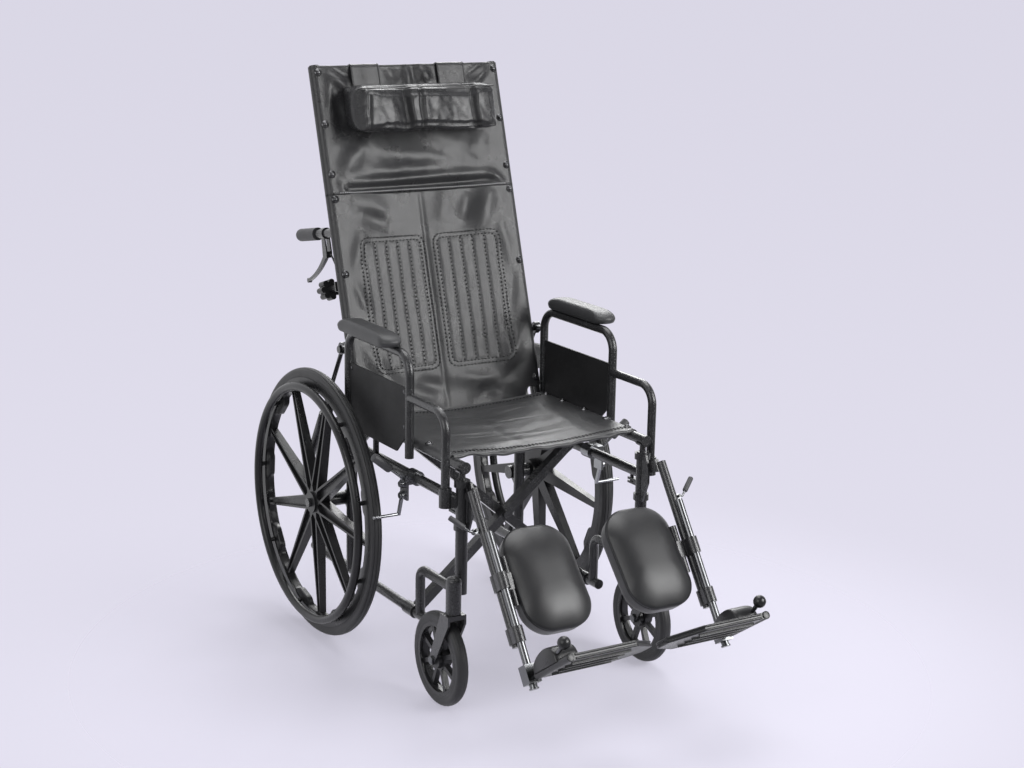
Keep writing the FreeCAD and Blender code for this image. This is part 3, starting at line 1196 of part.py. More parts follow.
def calf_bracket():
    """The calf pad's back plate and the two bent arms that swing on the leg rest's pin."""
    half_t = CALF_HALF_LENGTH * 0.6
    half_x = CALF_HALF_WIDTH * 0.5
    corners = ((-half_x, -half_t), (half_x, -half_t), (half_x, half_t), (-half_x, half_t))
    seat_e = CALF_BACK_E - GAP
    plate = prism([calf_point(a, b, seat_e - CALF_PLATE) for a, b in corners], CALF_FRONT * CALF_PLATE)
    pin_low, pin_high = calf_pin_ends()
    eye_r = 2 * CALF_PIN_R
    arms = []
    for t in (CLAMP_T - CLAMP_LENGTH, CLAMP_T + CLAMP_LENGTH + GAP):
        height = CLAMP_LENGTH - GAP
        start = leg_point(CALF_PIN_X, t, LEG_TUBE_E)
        eye = rod(start, start + LEG_UP * height, eye_r)
        meet_e = seat_e - (t + height / 2 - CALF_T) * math.tan(math.radians(CALF_LEAN))
        rear_e = meet_e - 2 * CALF_PLATE
        front_e = meet_e + CALF_PLATE
        bend = prism([leg_point(x, t, e) for x, e in (
            (CALF_PIN_X - eye_r, LEG_TUBE_E),
            (CALF_PIN_X - eye_r, front_e),
            (CALF_X, front_e),
            (CALF_X, rear_e),
            (CALF_PIN_X + eye_r, rear_e),
            (CALF_PIN_X + eye_r, LEG_TUBE_E),
        )], LEG_UP * height)
        arms.append(fuse([eye, bend]))
    reach_x = CALF_PIN_X - eye_r - CALF_X
    pad_room = prism([calf_point(a, b, seat_e) for a, b in (
        (-reach_x, -CALF_HALF_LENGTH), (reach_x, -CALF_HALF_LENGTH),
        (reach_x, CALF_HALF_LENGTH), (-reach_x, CALF_HALF_LENGTH))], CALF_FRONT * CALF_HALF_LENGTH)
    hole = rod(pin_low - LEG_UP, pin_high + LEG_UP, CALF_PIN_R + RUN_FIT)
    return fuse([plate] + [arm.cut(pad_room) for arm in arms]).cut(hole)


def calf_pad():
    """The oval calf pad: flat back, drawn-in sides and a crowned face."""
    rim = CALF_RIM_E
    rise = CALF_CROWN_E - rim
    levels = [(CALF_BACK_E, 6), (rim, 0), (rim + 0.35 * rise, 3), (rim + 0.75 * rise, 14), (CALF_CROWN_E, 30)]
    return cushion(CALF_CENTRE, SIDE, CALF_UP, CALF_HALF_WIDTH, CALF_HALF_LENGTH, CALF_CORNER, levels)


def head_pillow():
    """The head pillow: a crowned box in front of the head cloth, with its two straps over the top."""
    front = CANE_R + GAP + CLOTH + GAP
    middle = (PILLOW_LOW + PILLOW_HIGH) / 2
    centre = cane_point(0, middle, front)
    d = PILLOW_DEPTH
    levels = [(0, 6), (0.2 * d, 0), (0.75 * d, 1), (d, 9)]
    pieces = [cushion(centre, SIDE, CANE_UP, PILLOW_HALF_WIDTH, (PILLOW_HIGH - PILLOW_LOW) / 2,
                      PILLOW_CORNER, levels)]
    over = BACK_TOP + GAP + CLOTH
    strap_rear = -(CANE_R + GAP)
    for side in (-1, 1):
        x = side * STRAP_X - STRAP_WIDTH / 2
        pieces.append(prism([
            cane_point(x, middle, front + CLOTH),
            cane_point(x, middle, front),
            cane_point(x, BACK_TOP + GAP, front),
            cane_point(x, BACK_TOP + GAP, strap_rear),
            cane_point(x, over, strap_rear),
            cane_point(x, over, front + CLOTH),
        ], SIDE * STRAP_WIDTH))
    return fuse(pieces)


def upholstery():
    """The three cloths: seat, back and head, each stretched between its two bars."""
    seat = sling(Vec(0, SEAT_FRONT_Y, RAIL_Z), UP, BACK * (RAIL_REAR_Y - SEAT_FRONT_Y), FRAME_X, TUBE_R,
                 SEAT_SAG, SEAT_WRAP)
    back = sling(cane_point(0, BACK_LOW), CANE_FRONT, CANE_UP * (BACK_SEAM - GAP - BACK_LOW), CANE_X, CANE_R,
                 BACK_SAG, BACK_WRAP)
    head = sling(cane_point(0, BACK_SEAM), CANE_FRONT, CANE_UP * (BACK_TOP - BACK_SEAM), CANE_X, CANE_R,
                 HEAD_SAG, BACK_WRAP)
    return {"seat_sling": seat, "back_sling": back, "headrest_sling": head}


def build():
    """Every piece of the chair by name, with the rear axle at Y = 0."""
    pairs = {
        "side_frame": side_frame(),
        "rear_wheel": rear_wheel(),
        "rear_tyre": tyre(AXLE, WHEEL_R, TYRE_WIDTH, TYRE_DEPTH),
        "handrim": handrim(),
        "caster_fork": caster_fork(),
        "caster_wheel": caster_wheel(),
        "caster_tyre": tyre(CASTER_AXLE, CASTER_R, CASTER_WIDTH, CASTER_TYRE_DEPTH),
        "arm_frame": arm_frame(),
        "arm_pad": arm_pad(),
        "skirt_guard": skirt_guard(),
        "hand_grip": hand_grip(),
        "recline_lever": recline_lever(),
        "recline_cable": recline_cable(),
        "gas_cylinder": gas_cylinder(),
        "gas_rod": gas_rod(),
        "lock_clamp": lock_clamp(),
        "lock_lever": lock_lever(),
        "lock_shoe": lock_shoe(),
        "leg_hanger": leg_hanger(),
        "leg_tube": leg_tube(),
        "elevation_lever": elevation_lever(),
        "leg_slide": leg_slide(),
        "footplate": footplate(),
        "calf_bracket": calf_bracket(),
        "calf_pad": calf_pad(),
    }
    pieces = {
        "cross_bar_front": cross_bar_front(),
        "cross_bar_rear": cross_bar_rear(),
        "back_cane_left": back_cane_left(),
        "back_cane_right": mirrored(back_cane()),
        "spreader_bar": spreader_bar(),
        "star_knob": star_knob(),
        "head_pillow": head_pillow(),
    }
    pieces.update(upholstery())
    for name, shape in pairs.items():
        pieces[name + "_left"] = shape
        pieces[name + "_right"] = mirrored(shape)
    return pieces


def chair_middle(pieces):
    """The middle of the chair's length, between the footplates' fronts and the back of the rear wheels."""
    boxes = [shape.optimalBoundingBox() for shape in pieces.values()]
    return (min(box.YMin for box in boxes) + max(box.YMax for box in boxes)) / 2


PIECES = build()
ORIGIN_Y = chair_middle(PIECES)
for node, piece in PIECES.items():
    piece.translate(BACK * -ORIGIN_Y)
    piece.exportStep("parts/" + node + ".step")
print("nodes", len(PIECES), "origin at Y", round(ORIGIN_Y, 3), "from the rear axle")
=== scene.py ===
"""Looks of a reclining wheelchair with elevating leg rests, worked out around its CAD frame.

The chair faces -Y, +X is the occupant's left and +Z is up, all in metres. The vinyl slings, the head
pillow, the pads and the tyres are new surfaces over the CAD frame. The tubes, wheels and levers are the CAD
pieces with better finishes. Small fasteners, stitches and hems are added where the real chair has them.
"""
import logging
import math
from dataclasses import dataclass
from enum import Enum

import bmesh
import bpy
import numpy as np
from mathutils import Matrix, Vector


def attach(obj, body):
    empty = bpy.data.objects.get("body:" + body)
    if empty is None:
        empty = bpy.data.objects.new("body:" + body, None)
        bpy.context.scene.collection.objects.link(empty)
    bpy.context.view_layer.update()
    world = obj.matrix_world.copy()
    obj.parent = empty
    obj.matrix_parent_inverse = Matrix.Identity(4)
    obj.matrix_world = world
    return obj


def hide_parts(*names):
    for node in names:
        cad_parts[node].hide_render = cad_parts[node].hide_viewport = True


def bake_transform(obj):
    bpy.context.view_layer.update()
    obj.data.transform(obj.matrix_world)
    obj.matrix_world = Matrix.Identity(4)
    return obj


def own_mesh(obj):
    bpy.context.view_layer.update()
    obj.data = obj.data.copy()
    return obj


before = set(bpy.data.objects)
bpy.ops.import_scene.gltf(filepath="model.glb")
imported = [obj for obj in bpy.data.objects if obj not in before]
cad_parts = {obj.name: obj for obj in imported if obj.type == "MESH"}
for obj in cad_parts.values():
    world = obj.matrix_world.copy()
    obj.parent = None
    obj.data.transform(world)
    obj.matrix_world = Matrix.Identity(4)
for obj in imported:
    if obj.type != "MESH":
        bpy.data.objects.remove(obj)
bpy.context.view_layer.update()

# Short names of types
Array = np.ndarray
Piece = bpy.types.Object
Tree = bpy.types.ShaderNodeTree
Node = bpy.types.ShaderNode
Socket = bpy.types.NodeSocket

LOG = logging.getLogger("wheelchair")

# Places and directions that several pieces share
AXLE_Y = 0.328951
CANE_X = 0.227
RAIL_X = 0.222
WHEEL = np.array([0.295, AXLE_Y, 0.305])
CASTER = np.array([0.253, AXLE_Y - 0.507, 0.100])
SIM_STEPS = 20
SIDE = np.array([1.0, 0.0, 0.0])
BACK = np.array([0.0, 1.0, 0.0])
UP = np.array([0.0, 0.0, 1.0])


@dataclass(frozen=True)
class Side:
    """One side of the chair.

    Attributes:
        name: left or right.
        sign: 1 on the left and -1 on the right.
    """

    name: str
    sign: float

    @property
    def mirror(self) -> Array:
        """What turns a left place to this side."""
        return np.array([self.sign, 1.0, 1.0])


SIDES = (Side("left", 1.0), Side("right", -1.0))


@dataclass(frozen=True)
class LeaningLine:
    """A straight member that leans back from its foot: up runs along it and front points out of its face.

    Attributes:
        y: Y of its foot.
        z: Z of its foot.
        angle: its lean from upright, in degrees.
    """

    y: float
    z: float
    angle: float

    @property
    def up(self) -> Array:
        """The direction along the member."""
        lean = math.radians(self.angle)
        return np.array([0.0, math.sin(lean), math.cos(lean)])

    @property
    def front(self) -> Array:
        """The direction out of the member's face."""
        return np.array([0.0, -self.up[2], self.up[1]])

    def point(self, x: Array, along: Array, front: Array) -> Array:
        """Points given by X, the distance up the member and the distance in front of it.

        Args:
            x: X of each point.
            along: distance up from the foot.
            front: distance out of the face.

        Returns:
            The points, with their three coordinates on the last axis.
        """
        x, along, front = np.broadcast_arrays(x, along, front)
        foot = np.array([0.0, self.y, self.z])
        return foot + x[..., None] * SIDE + along[..., None] * self.up + front[..., None] * self.front


BACK_LINE = LeaningLine(AXLE_Y - 0.095, 0.495, 17.4)
SEAT_LINE = LeaningLine(AXLE_Y - 0.492, 0.515, 90.0)
LEG_LINE = LeaningLine(AXLE_Y - 0.827, 0.146, 34.6)


# Mesh making

def grid_faces(rows: int, columns: int, closed: bool) -> Array:
    """The quads of a grid of points.

    Args:
        rows: number of rows.
        columns: number of points in a row.
        closed: whether each row's last point joins its first.

    Returns:
        Vertex numbers, four to a quad.
    """
    row = np.arange(rows - 1)[:, None]
    column = np.arange(columns if closed else columns - 1)[None, :]
    following = (column + 1) % columns
    near = row * columns + column
    far = row * columns + following
    return np.stack([near, far, far + columns, near + columns], axis=-1).reshape(-1, 4)


def make_object(name: str, points: Array, faces: Array, sharp: float = 180.0) -> Piece:
    """A mesh object at the origin, smooth apart from edges sharper than an angle.

    Args:
        name: the piece's name.
        points: its points, three coordinates each.
        faces: vertex numbers of its faces.
        sharp: the angle in degrees above which an edge stays sharp.

    Returns:
        The new object, in the scene.
    """
    mesh = bpy.data.meshes.new(name)
    mesh.from_pydata(np.asarray(points, float).reshape(-1, 3), [], faces)
    mesh.validate()
    mesh.polygons.foreach_set("use_smooth", np.ones(len(mesh.polygons), bool))
    if sharp < 180.0:
        mesh.set_sharp_from_angle(angle=math.radians(sharp))
    mesh.update()
    piece = bpy.data.objects.new(name, mesh)
    bpy.context.scene.collection.objects.link(piece)
    return piece


def surface(name: str, points: Array, closed: bool = False, sharp: float = 180.0) -> Piece:
    """A piece from one grid of points.

    Args:
        name: the piece's name.
        points: rows of points, as an array of rows by columns by 3.
        closed: whether each row closes on itself.
        sharp: the angle in degrees above which an edge stays sharp.

    Returns:
        The new object.
    """
    rows, columns = points.shape[:2]
    return make_object(name, points, grid_faces(rows, columns, closed), sharp)


def sharpen_border(mesh: bpy.types.Mesh) -> None:
    """Keeps a sheet's open edges sharp, so that its thickness doesn't bend the light on its face.

    Args:
        mesh: the sheet's mesh, before its thickness.
    """
    used = np.zeros(len(mesh.loops), np.int32)
    mesh.loops.foreach_get("edge_index", used)
    mesh.edges.foreach_set("use_edge_sharp", np.bincount(used, minlength=len(mesh.edges)) == 1)


def closed_form(name: str, points: Array, sharp: float = 180.0) -> Piece:
    """A closed skin from rings of points whose first and last rings may shrink to one point.

    Args:
        name: the piece's name.
        points: rings of points, as an array of rings by points by 3.
        sharp: the angle in degrees above which an edge stays sharp.

    Returns:
        The new object, with its doubled points merged and its faces outwards.
    """
    piece = surface(name, points, closed=True)
    tidy_skin(piece.data)
    if sharp < 180.0:
        piece.data.set_sharp_from_angle(angle=math.radians(sharp))
    return piece


def tidy_skin(mesh: bpy.types.Mesh) -> None:
    """Merges a mesh's doubled points and turns its faces outwards.

    Args:
        mesh: the mesh, changed in place.
    """
    shape = bmesh.new()
    shape.from_mesh(mesh)
    bmesh.ops.remove_doubles(shape, verts=shape.verts, dist=1e-6)
    bmesh.ops.recalc_face_normals(shape, faces=shape.faces)
    shape.to_mesh(mesh)
    shape.free()
    mesh.update()


def smooth_step(value: Array) -> Array:
    """A soft change from 0 to 1: t^2 * (3 - 2 t), with t the value held between 0 and 1."""
    t = np.clip(value, 0.0, 1.0)
    return t * t * (3.0 - 2.0 * t)


def unit(vectors: Array) -> Array:
    """The vectors at length 1."""
    return vectors / np.linalg.norm(vectors, axis=-1, keepdims=True)


def square_to(axis: Array) -> tuple[Array, Array]:
    """Two directions square to each axis and to each other.

    Args:
        axis: unit vectors on the last axis.

    Returns:
        The two directions, shaped as the axes are.
    """
    helper = np.where(np.abs(axis[..., :1]) < 0.9, SIDE, BACK)
    first = unit(np.cross(axis, helper))
    return first, np.cross(axis, first)


def turned(name: str, profile: Array, places: Array, axes: Array, steps: int = 16,
           sharp: float = 40.0) -> Piece:
    """Turned pieces: one profile of (distance along, radius) spun round an axis at each place.

    A point of a ring is place + axis * along + radius * (first * cos(turn) + second * sin(turn)).

    Args:
        name: the name of the one object that holds them all.
        profile: rows of distance along the axis and radius.
        places: the start of each piece's axis.
        axes: each piece's axis.
        steps: points round a ring.
        sharp: the angle in degrees above which an edge stays sharp.

    Returns:
        The new object.
    """
    places = np.atleast_2d(places)
    axes = unit(np.broadcast_to(np.atleast_2d(axes), places.shape))
    first, second = square_to(axes)
    turn = np.linspace(0.0, 2.0 * np.pi, steps, endpoint=False)
    spin = np.cos(turn)[:, None] * first[:, None, :] + np.sin(turn)[:, None] * second[:, None, :]
    centre = places[:, None, :] + profile[None, :, :1] * axes[:, None, :]
    points = centre[:, :, None, :] + profile[None, :, 1, None, None] * spin[:, None, :, :]
    one = grid_faces(len(profile), steps, True)
    step = len(profile) * steps
    faces = (one[None] + np.arange(len(places))[:, None, None] * step).reshape(-1, 4)
    piece = make_object(name, points, faces)
    tidy_skin(piece.data)
    piece.data.set_sharp_from_angle(angle=math.radians(sharp))
    return piece


def swept(name: str, path: Array, radius: Array | float, steps: int = 12, loop: bool = False) -> Piece:
    """A round bar along a path: at each point a ring square to the path, closed at both ends.

    Args:
        name: the piece's name.
        path: points of the path.
        radius: one radius, or one for each point.
        steps: points round a ring.
        loop: whether the path's last point joins its first.

    Returns:
        The new object.
    """
    before = np.roll(path, 1, axis=0)
    after = np.roll(path, -1, axis=0)
    if not loop:
        before[0] = path[0]
        after[-1] = path[-1]
    tangent = unit(after - before)
    first, second = square_to(tangent)
    turn = np.linspace(0.0, 2.0 * np.pi, steps, endpoint=False)
    reach = np.broadcast_to(np.asarray(radius, float), len(path))[:, None, None]
    ring = np.cos(turn)[None, :, None] * first[:, None] + np.sin(turn)[None, :, None] * second[:, None]
    points = path[:, None, :] + reach * ring
    if loop:
        points = np.concatenate([points, points[:1]])
    else:
        points = np.concatenate([path[:1, None] + 0 * ring[:1], points, path[-1:, None] + 0 * ring[-1:]])
    return closed_form(name, points, sharp=60.0)


def along_path(path: Array, spacing: float) -> Array:
    """Points at even steps along a path of straight runs.

    Args:
        path: its corner points.
        spacing: about how far apart the points are.

    Returns:
        The points, both ends among them.
    """
    run = np.linalg.norm(np.diff(path, axis=0), axis=1)
    reach = np.concatenate([[0.0], np.cumsum(run)])
    count = max(2, int(round(reach[-1] / spacing)) + 1)
    place = np.linspace(0.0, reach[-1], count)
    return np.stack([np.interp(place, reach, path[:, axis]) for axis in range(path.shape[1])], axis=-1)


def rounded_rectangle(half_width: float, half_length: float, corner: float, count: int) -> Array:
    """Points round a rectangle with round corners, at even steps.

    Args:
        half_width: half its size along the first coordinate.
        half_length: half its size along the second.
        corner: its corner radius.
        count: number of points.

    Returns:
        The points, two coordinates each, against the clock.
    """
    turn = np.linspace(0.0, 2.0 * np.pi, 4 * 24, endpoint=False)
    quarter = np.floor(turn / (np.pi / 2.0)).astype(int)
    across = np.where((quarter == 0) | (quarter == 3), 1.0, -1.0) * (half_width - corner)
    along = np.where(quarter < 2, 1.0, -1.0) * (half_length - corner)
    dense = np.stack([across + corner * np.cos(turn), along + corner * np.sin(turn)], axis=-1)
    dense = np.concatenate([dense, dense[:1]])
    return along_path(dense, np.linalg.norm(np.diff(dense, axis=0), axis=1).sum() / count)[:-1]


# Finishes

class Shade(Enum):
    """The chair's colours, as linear red, green and blue."""

    VINYL = (0.021, 0.021, 0.0225)
    VINYL_WORN = (0.046, 0.046, 0.049)
    # The seat's and arm pads' vinyl, lighter than VINYL as a painted sheen for the light that their flat tops
    # catch, and its worn tone.
    VINYL_PAINTED_SHEEN = (0.037, 0.0375, 0.0395)
    SEAT_WORN = (0.080, 0.081, 0.085)
    PAINT = (0.022, 0.022, 0.024)
    PAINT_FLECK = (0.085, 0.087, 0.092)
    CHROME = (0.17, 0.173, 0.18)
    CHROME_DULL = (0.10, 0.102, 0.108)
    STEEL = (0.33, 0.335, 0.35)
    STEEL_DULL = (0.20, 0.205, 0.22)
    GUNMETAL = (0.115, 0.115, 0.12)
    GUNMETAL_WORN = (0.30, 0.30, 0.31)
    PLASTIC = (0.013, 0.013, 0.0142)
    PLASTIC_WORN = (0.034, 0.034, 0.036)
    RUBBER = (0.026, 0.026, 0.0275)
    RUBBER_WORN = (0.062, 0.062, 0.064)
    PANEL = (0.010, 0.010, 0.011)
    PANEL_WORN = (0.020, 0.020, 0.022)
    GRIP = (0.050, 0.050, 0.054)
    GRIP_WORN = (0.10, 0.10, 0.105)
    # Black thread, made darker than the vinyl so that the stitches show as shaded stitch holes: its own
    # colour and painted shade.
    THREAD = (0.007, 0.007, 0.0075)
    PALE_THREAD = (0.42, 0.42, 0.43)
    BACKDROP = (0.745, 0.725, 0.838)
    FLOOR = (0.656, 0.638, 0.737)


class Relief(Enum):
    """The fine surface of a finish."""

    LEATHER = "leather grain"
    HAMMERED = "hammered paint"
    BRUSHED = "fine scratches"
    MOULDED = "moulded pebble"
    TWISTED = "twisted thread"


def new_group(name: str, inputs: dict[str, float], outputs: tuple[str, ...]) -> Tree:
    """An empty node group with number inputs and outputs and a Vector input for the place.

    Args:
        name: the group's name.
        inputs: input names with their usual values.
        outputs: output names.

    Returns:
        The group's node tree.
    """
    tree = bpy.data.node_groups.new(name, "ShaderNodeTree")
    tree.interface.new_socket("Place", in_out="INPUT", socket_type="NodeSocketVector")
    for label, usual in inputs.items():
        socket = tree.interface.new_socket(label, in_out="INPUT", socket_type="NodeSocketFloat")
        socket.default_value = usual
    for label in outputs:
        tree.interface.new_socket(label, in_out="OUTPUT", socket_type="NodeSocketFloat")
    tree.nodes.new("NodeGroupInput").name = "in"
    tree.nodes.new("NodeGroupOutput").name = "out"
    return tree


def fill(node: Node, **values: float) -> Node:
    """Sets inputs of a node, each named with _ for a space, and gives the node back.

    Args:
        node: the node.
        values: the inputs' values.

    Returns:
        The node.
    """
    for name, value in values.items():
        node.inputs[name.replace("_", " ")].default_value = value
    return node


def noise(tree: Tree, scale: float, detail: float = 3.0, roughness: float = 0.55) -> Socket:
    """A noise texture in a group, at the group's Place.

    Args:
        tree: the node tree.
        scale: how many patches to a metre.
        detail: how many finer layers it has.
        roughness: how strong they are.

    Returns:
        The texture's socket.
    """
    node = fill(tree.nodes.new("ShaderNodeTexNoise"), Scale=scale, Detail=detail, Roughness=roughness)
    tree.links.new(tree.nodes["in"].outputs["Place"], node.inputs["Vector"])
    return node.outputs["Fac"]


def cells(tree: Tree, scale: float, feature: str) -> Socket:
    """A cell texture in a group, at the group's Place.

    Args:
        tree: the node tree.
        scale: how many cells to a metre.
        feature: the measure that it gives.

    Returns:
        The texture's socket.
    """
    node = tree.nodes.new("ShaderNodeTexVoronoi")
    node.feature = feature
    node.inputs["Scale"].default_value = scale
    tree.links.new(tree.nodes["in"].outputs["Place"], node.inputs["Vector"])
    return node.outputs["Distance"]


def ramp(tree: Tree, source: Socket, low: float, high: float,
         to_low: float = 0.0, to_high: float = 1.0) -> Socket:
    """A value carried smoothly from one range to another.

    Args:
        tree: the node tree.
        source: the value's socket.
        low: where the change starts.
        high: where it ends.
        to_low: the value given at low.
        to_high: the value given at high.

    Returns:
        The socket of the changed value.
    """
    node = tree.nodes.new("ShaderNodeMapRange")
    node.interpolation_type = "SMOOTHSTEP"
    fill(node, From_Min=low, From_Max=high, To_Min=to_low, To_Max=to_high)
    tree.links.new(source, node.inputs["Value"])
    return node.outputs["Result"]


def worked(tree: Tree, operation: str, *values: Socket | float) -> Socket:
    """The result of a sum done by a node.

    Args:
        tree: the node tree.
        operation: the kind of sum.
        values: sockets or numbers, in the order of the node's inputs.

    Returns:
        The result's socket.
    """
    node = tree.nodes.new("ShaderNodeMath")
    node.operation = operation
    for socket, value in zip(node.inputs, values):
        if isinstance(value, Socket):
            tree.links.new(value, socket)
        else:
            socket.default_value = value
    return node.outputs[0]


def summed(tree: Tree, first: Socket, second: Socket, share: float) -> Socket:
    """The first value plus a share of the second."""
    return worked(tree, "MULTIPLY_ADD", second, share, first)


class Groups:
    """The shared surface effects, each built once as a node group."""

    def __init__(self) -> None:
        """Builds every group."""
        self.relief = {
            Relief.LEATHER: self.leather(),
            Relief.HAMMERED: self.hammered(),
            Relief.BRUSHED: self.brushed(),
            Relief.MOULDED: self.moulded(),
            Relief.TWISTED: self.twisted(),
        }
        self.wear = self.worn()

    @staticmethod
    def leather() -> Tree:
        """Vinyl's embossed grain: small cells with creases between them, broken up by noise."""
        tree = new_group("leather grain", {}, ("Height",))
        crease = ramp(tree, cells(tree, 620.0, "DISTANCE_TO_EDGE"), 0.0, 0.28)
        fine = noise(tree, 1500.0)
        broad = noise(tree, 60.0, 4.0)
        height = summed(tree, summed(tree, crease, fine, 0.5), broad, 0.8)
        tree.links.new(height, tree.nodes["out"].inputs["Height"])
        return tree

    @staticmethod
    def hammered() -> Tree:
        """Hammered paint: shallow round dimples of two sizes."""
        tree = new_group("hammered paint", {}, ("Height",))
        dimple = ramp(tree, cells(tree, 520.0, "F1"), 0.1, 0.7)
        fine = noise(tree, 900.0)
        tree.links.new(summed(tree, dimple, fine, 0.7), tree.nodes["out"].inputs["Height"])
        return tree

    @staticmethod
    def brushed() -> Tree:
        """Plated metal: faint scratches and ripples."""
        tree = new_group("fine scratches", {}, ("Height",))
        scratch = noise(tree, 800.0, 5.0, 0.7)
        ripple = noise(tree, 90.0, 2.0)
        tree.links.new(summed(tree, scratch, ripple, 0.8), tree.nodes["out"].inputs["Height"])
        return tree

    @staticmethod
    def moulded() -> Tree:
        """Moulded plastic or rubber: a fine pebble with soft flow marks."""
        tree = new_group("moulded pebble", {}, ("Height",))
        pebble = ramp(tree, cells(tree, 900.0, "SMOOTH_F1"), 0.0, 0.8)
        flow = noise(tree, 45.0, 3.0)
        tree.links.new(summed(tree, pebble, flow, 0.6), tree.nodes["out"].inputs["Height"])
        return tree

    @staticmethod
    def twisted() -> Tree:
        """Sewing thread: slanting strands."""
        tree = new_group("twisted thread", {}, ("Height",))
        wave = tree.nodes.new("ShaderNodeTexWave")
        wave.bands_direction = "DIAGONAL"
        wave.inputs["Scale"].default_value = 700.0
        tree.links.new(tree.nodes["in"].outputs["Place"], wave.inputs["Vector"])
        tree.links.new(wave.outputs["Fac"], tree.nodes["out"].inputs["Height"])
        return tree

    @staticmethod
    def worn() -> Tree:
        """Wear and handling: broad cloudy patches broken by fine specks, from 0 clean to 1 worn."""
        tree = new_group("wear", {"Reach": 0.5}, ("Mask", "Cloud"))
        cloud = noise(tree, 14.0, 5.0, 0.6)
        speck = noise(tree, 380.0, 2.0)
        patch = ramp(tree, cloud, 0.42, 0.74)
        broken = ramp(tree, speck, 0.40, 0.66)
        reach = tree.nodes["in"].outputs["Reach"]
        mask = worked(tree, "MULTIPLY", worked(tree, "MULTIPLY", patch, broken), reach)
        tree.links.new(mask, tree.nodes["out"].inputs["Mask"])
        tree.links.new(cloud, tree.nodes["out"].inputs["Cloud"])
        return tree


@dataclass(frozen=True)
class Finish:
    """One surface finish.

    Attributes:
        name: the material's name.
        slot: the record's material slot; not used.
        shade: the clean colour.
        worn: the colour where it is handled or rubbed.
        relief: its fine surface.
        depth: how strong the fine surface is, from 0 to 1.
        relief_height: the height of the fine surface.
        smooth: roughness where it is smoothest.
        rough: roughness where it is roughest.
        metallic: 1 for bare metal.
        coat: weight of a clear coat.
        wear: how far the wear reaches, from 0 to 1.
    """

    name: str
    slot: str
    shade: Shade
    worn: Shade
    relief: Relief
    depth: float
    relief_height: float
    smooth: float
    rough: float
    metallic: float = 0.0
    coat: float = 0.0
    wear: float = 0.5

    def material(self, groups: Groups) -> bpy.types.Material:
        """Builds the finish as a node material.

        Args:
            groups: the shared surface effects.

        Returns:
            The material.
        """
        made = bpy.data.materials.new(self.name)
        made.use_nodes = True
        tree = made.node_tree
        shader = tree.nodes["Principled BSDF"]
        fill(shader, Metallic=self.metallic, Coat_Weight=self.coat, Coat_Roughness=self.smooth)
        place = tree.nodes.new("ShaderNodeTexCoord").outputs["Object"]
        wear = tree.nodes.new("ShaderNodeGroup")
        wear.node_tree = groups.wear
        wear.inputs["Reach"].default_value = self.wear
        tree.links.new(place, wear.inputs["Place"])
        tint = tree.nodes.new("ShaderNodeMix")
        tint.data_type = "RGBA"
        tint.inputs[6].default_value = (*self.shade.value, 1.0)
        tint.inputs[7].default_value = (*self.worn.value, 1.0)
        tree.links.new(wear.outputs["Mask"], tint.inputs["Factor"])
        tree.links.new(tint.outputs[2], shader.inputs["Base Color"])
        polish = ramp(tree, wear.outputs["Cloud"], 0.25, 0.75, self.smooth, self.rough)
        tree.links.new(polish, shader.inputs["Roughness"])
        relief = tree.nodes.new("ShaderNodeGroup")
        relief.node_tree = groups.relief[self.relief]
        tree.links.new(place, relief.inputs["Place"])
        bump = fill(tree.nodes.new("ShaderNodeBump"), Strength=self.depth, Distance=self.relief_height)
        tree.links.new(relief.outputs["Height"], bump.inputs["Height"])
        tree.links.new(bump.outputs["Normal"], shader.inputs["Normal"])
        return made


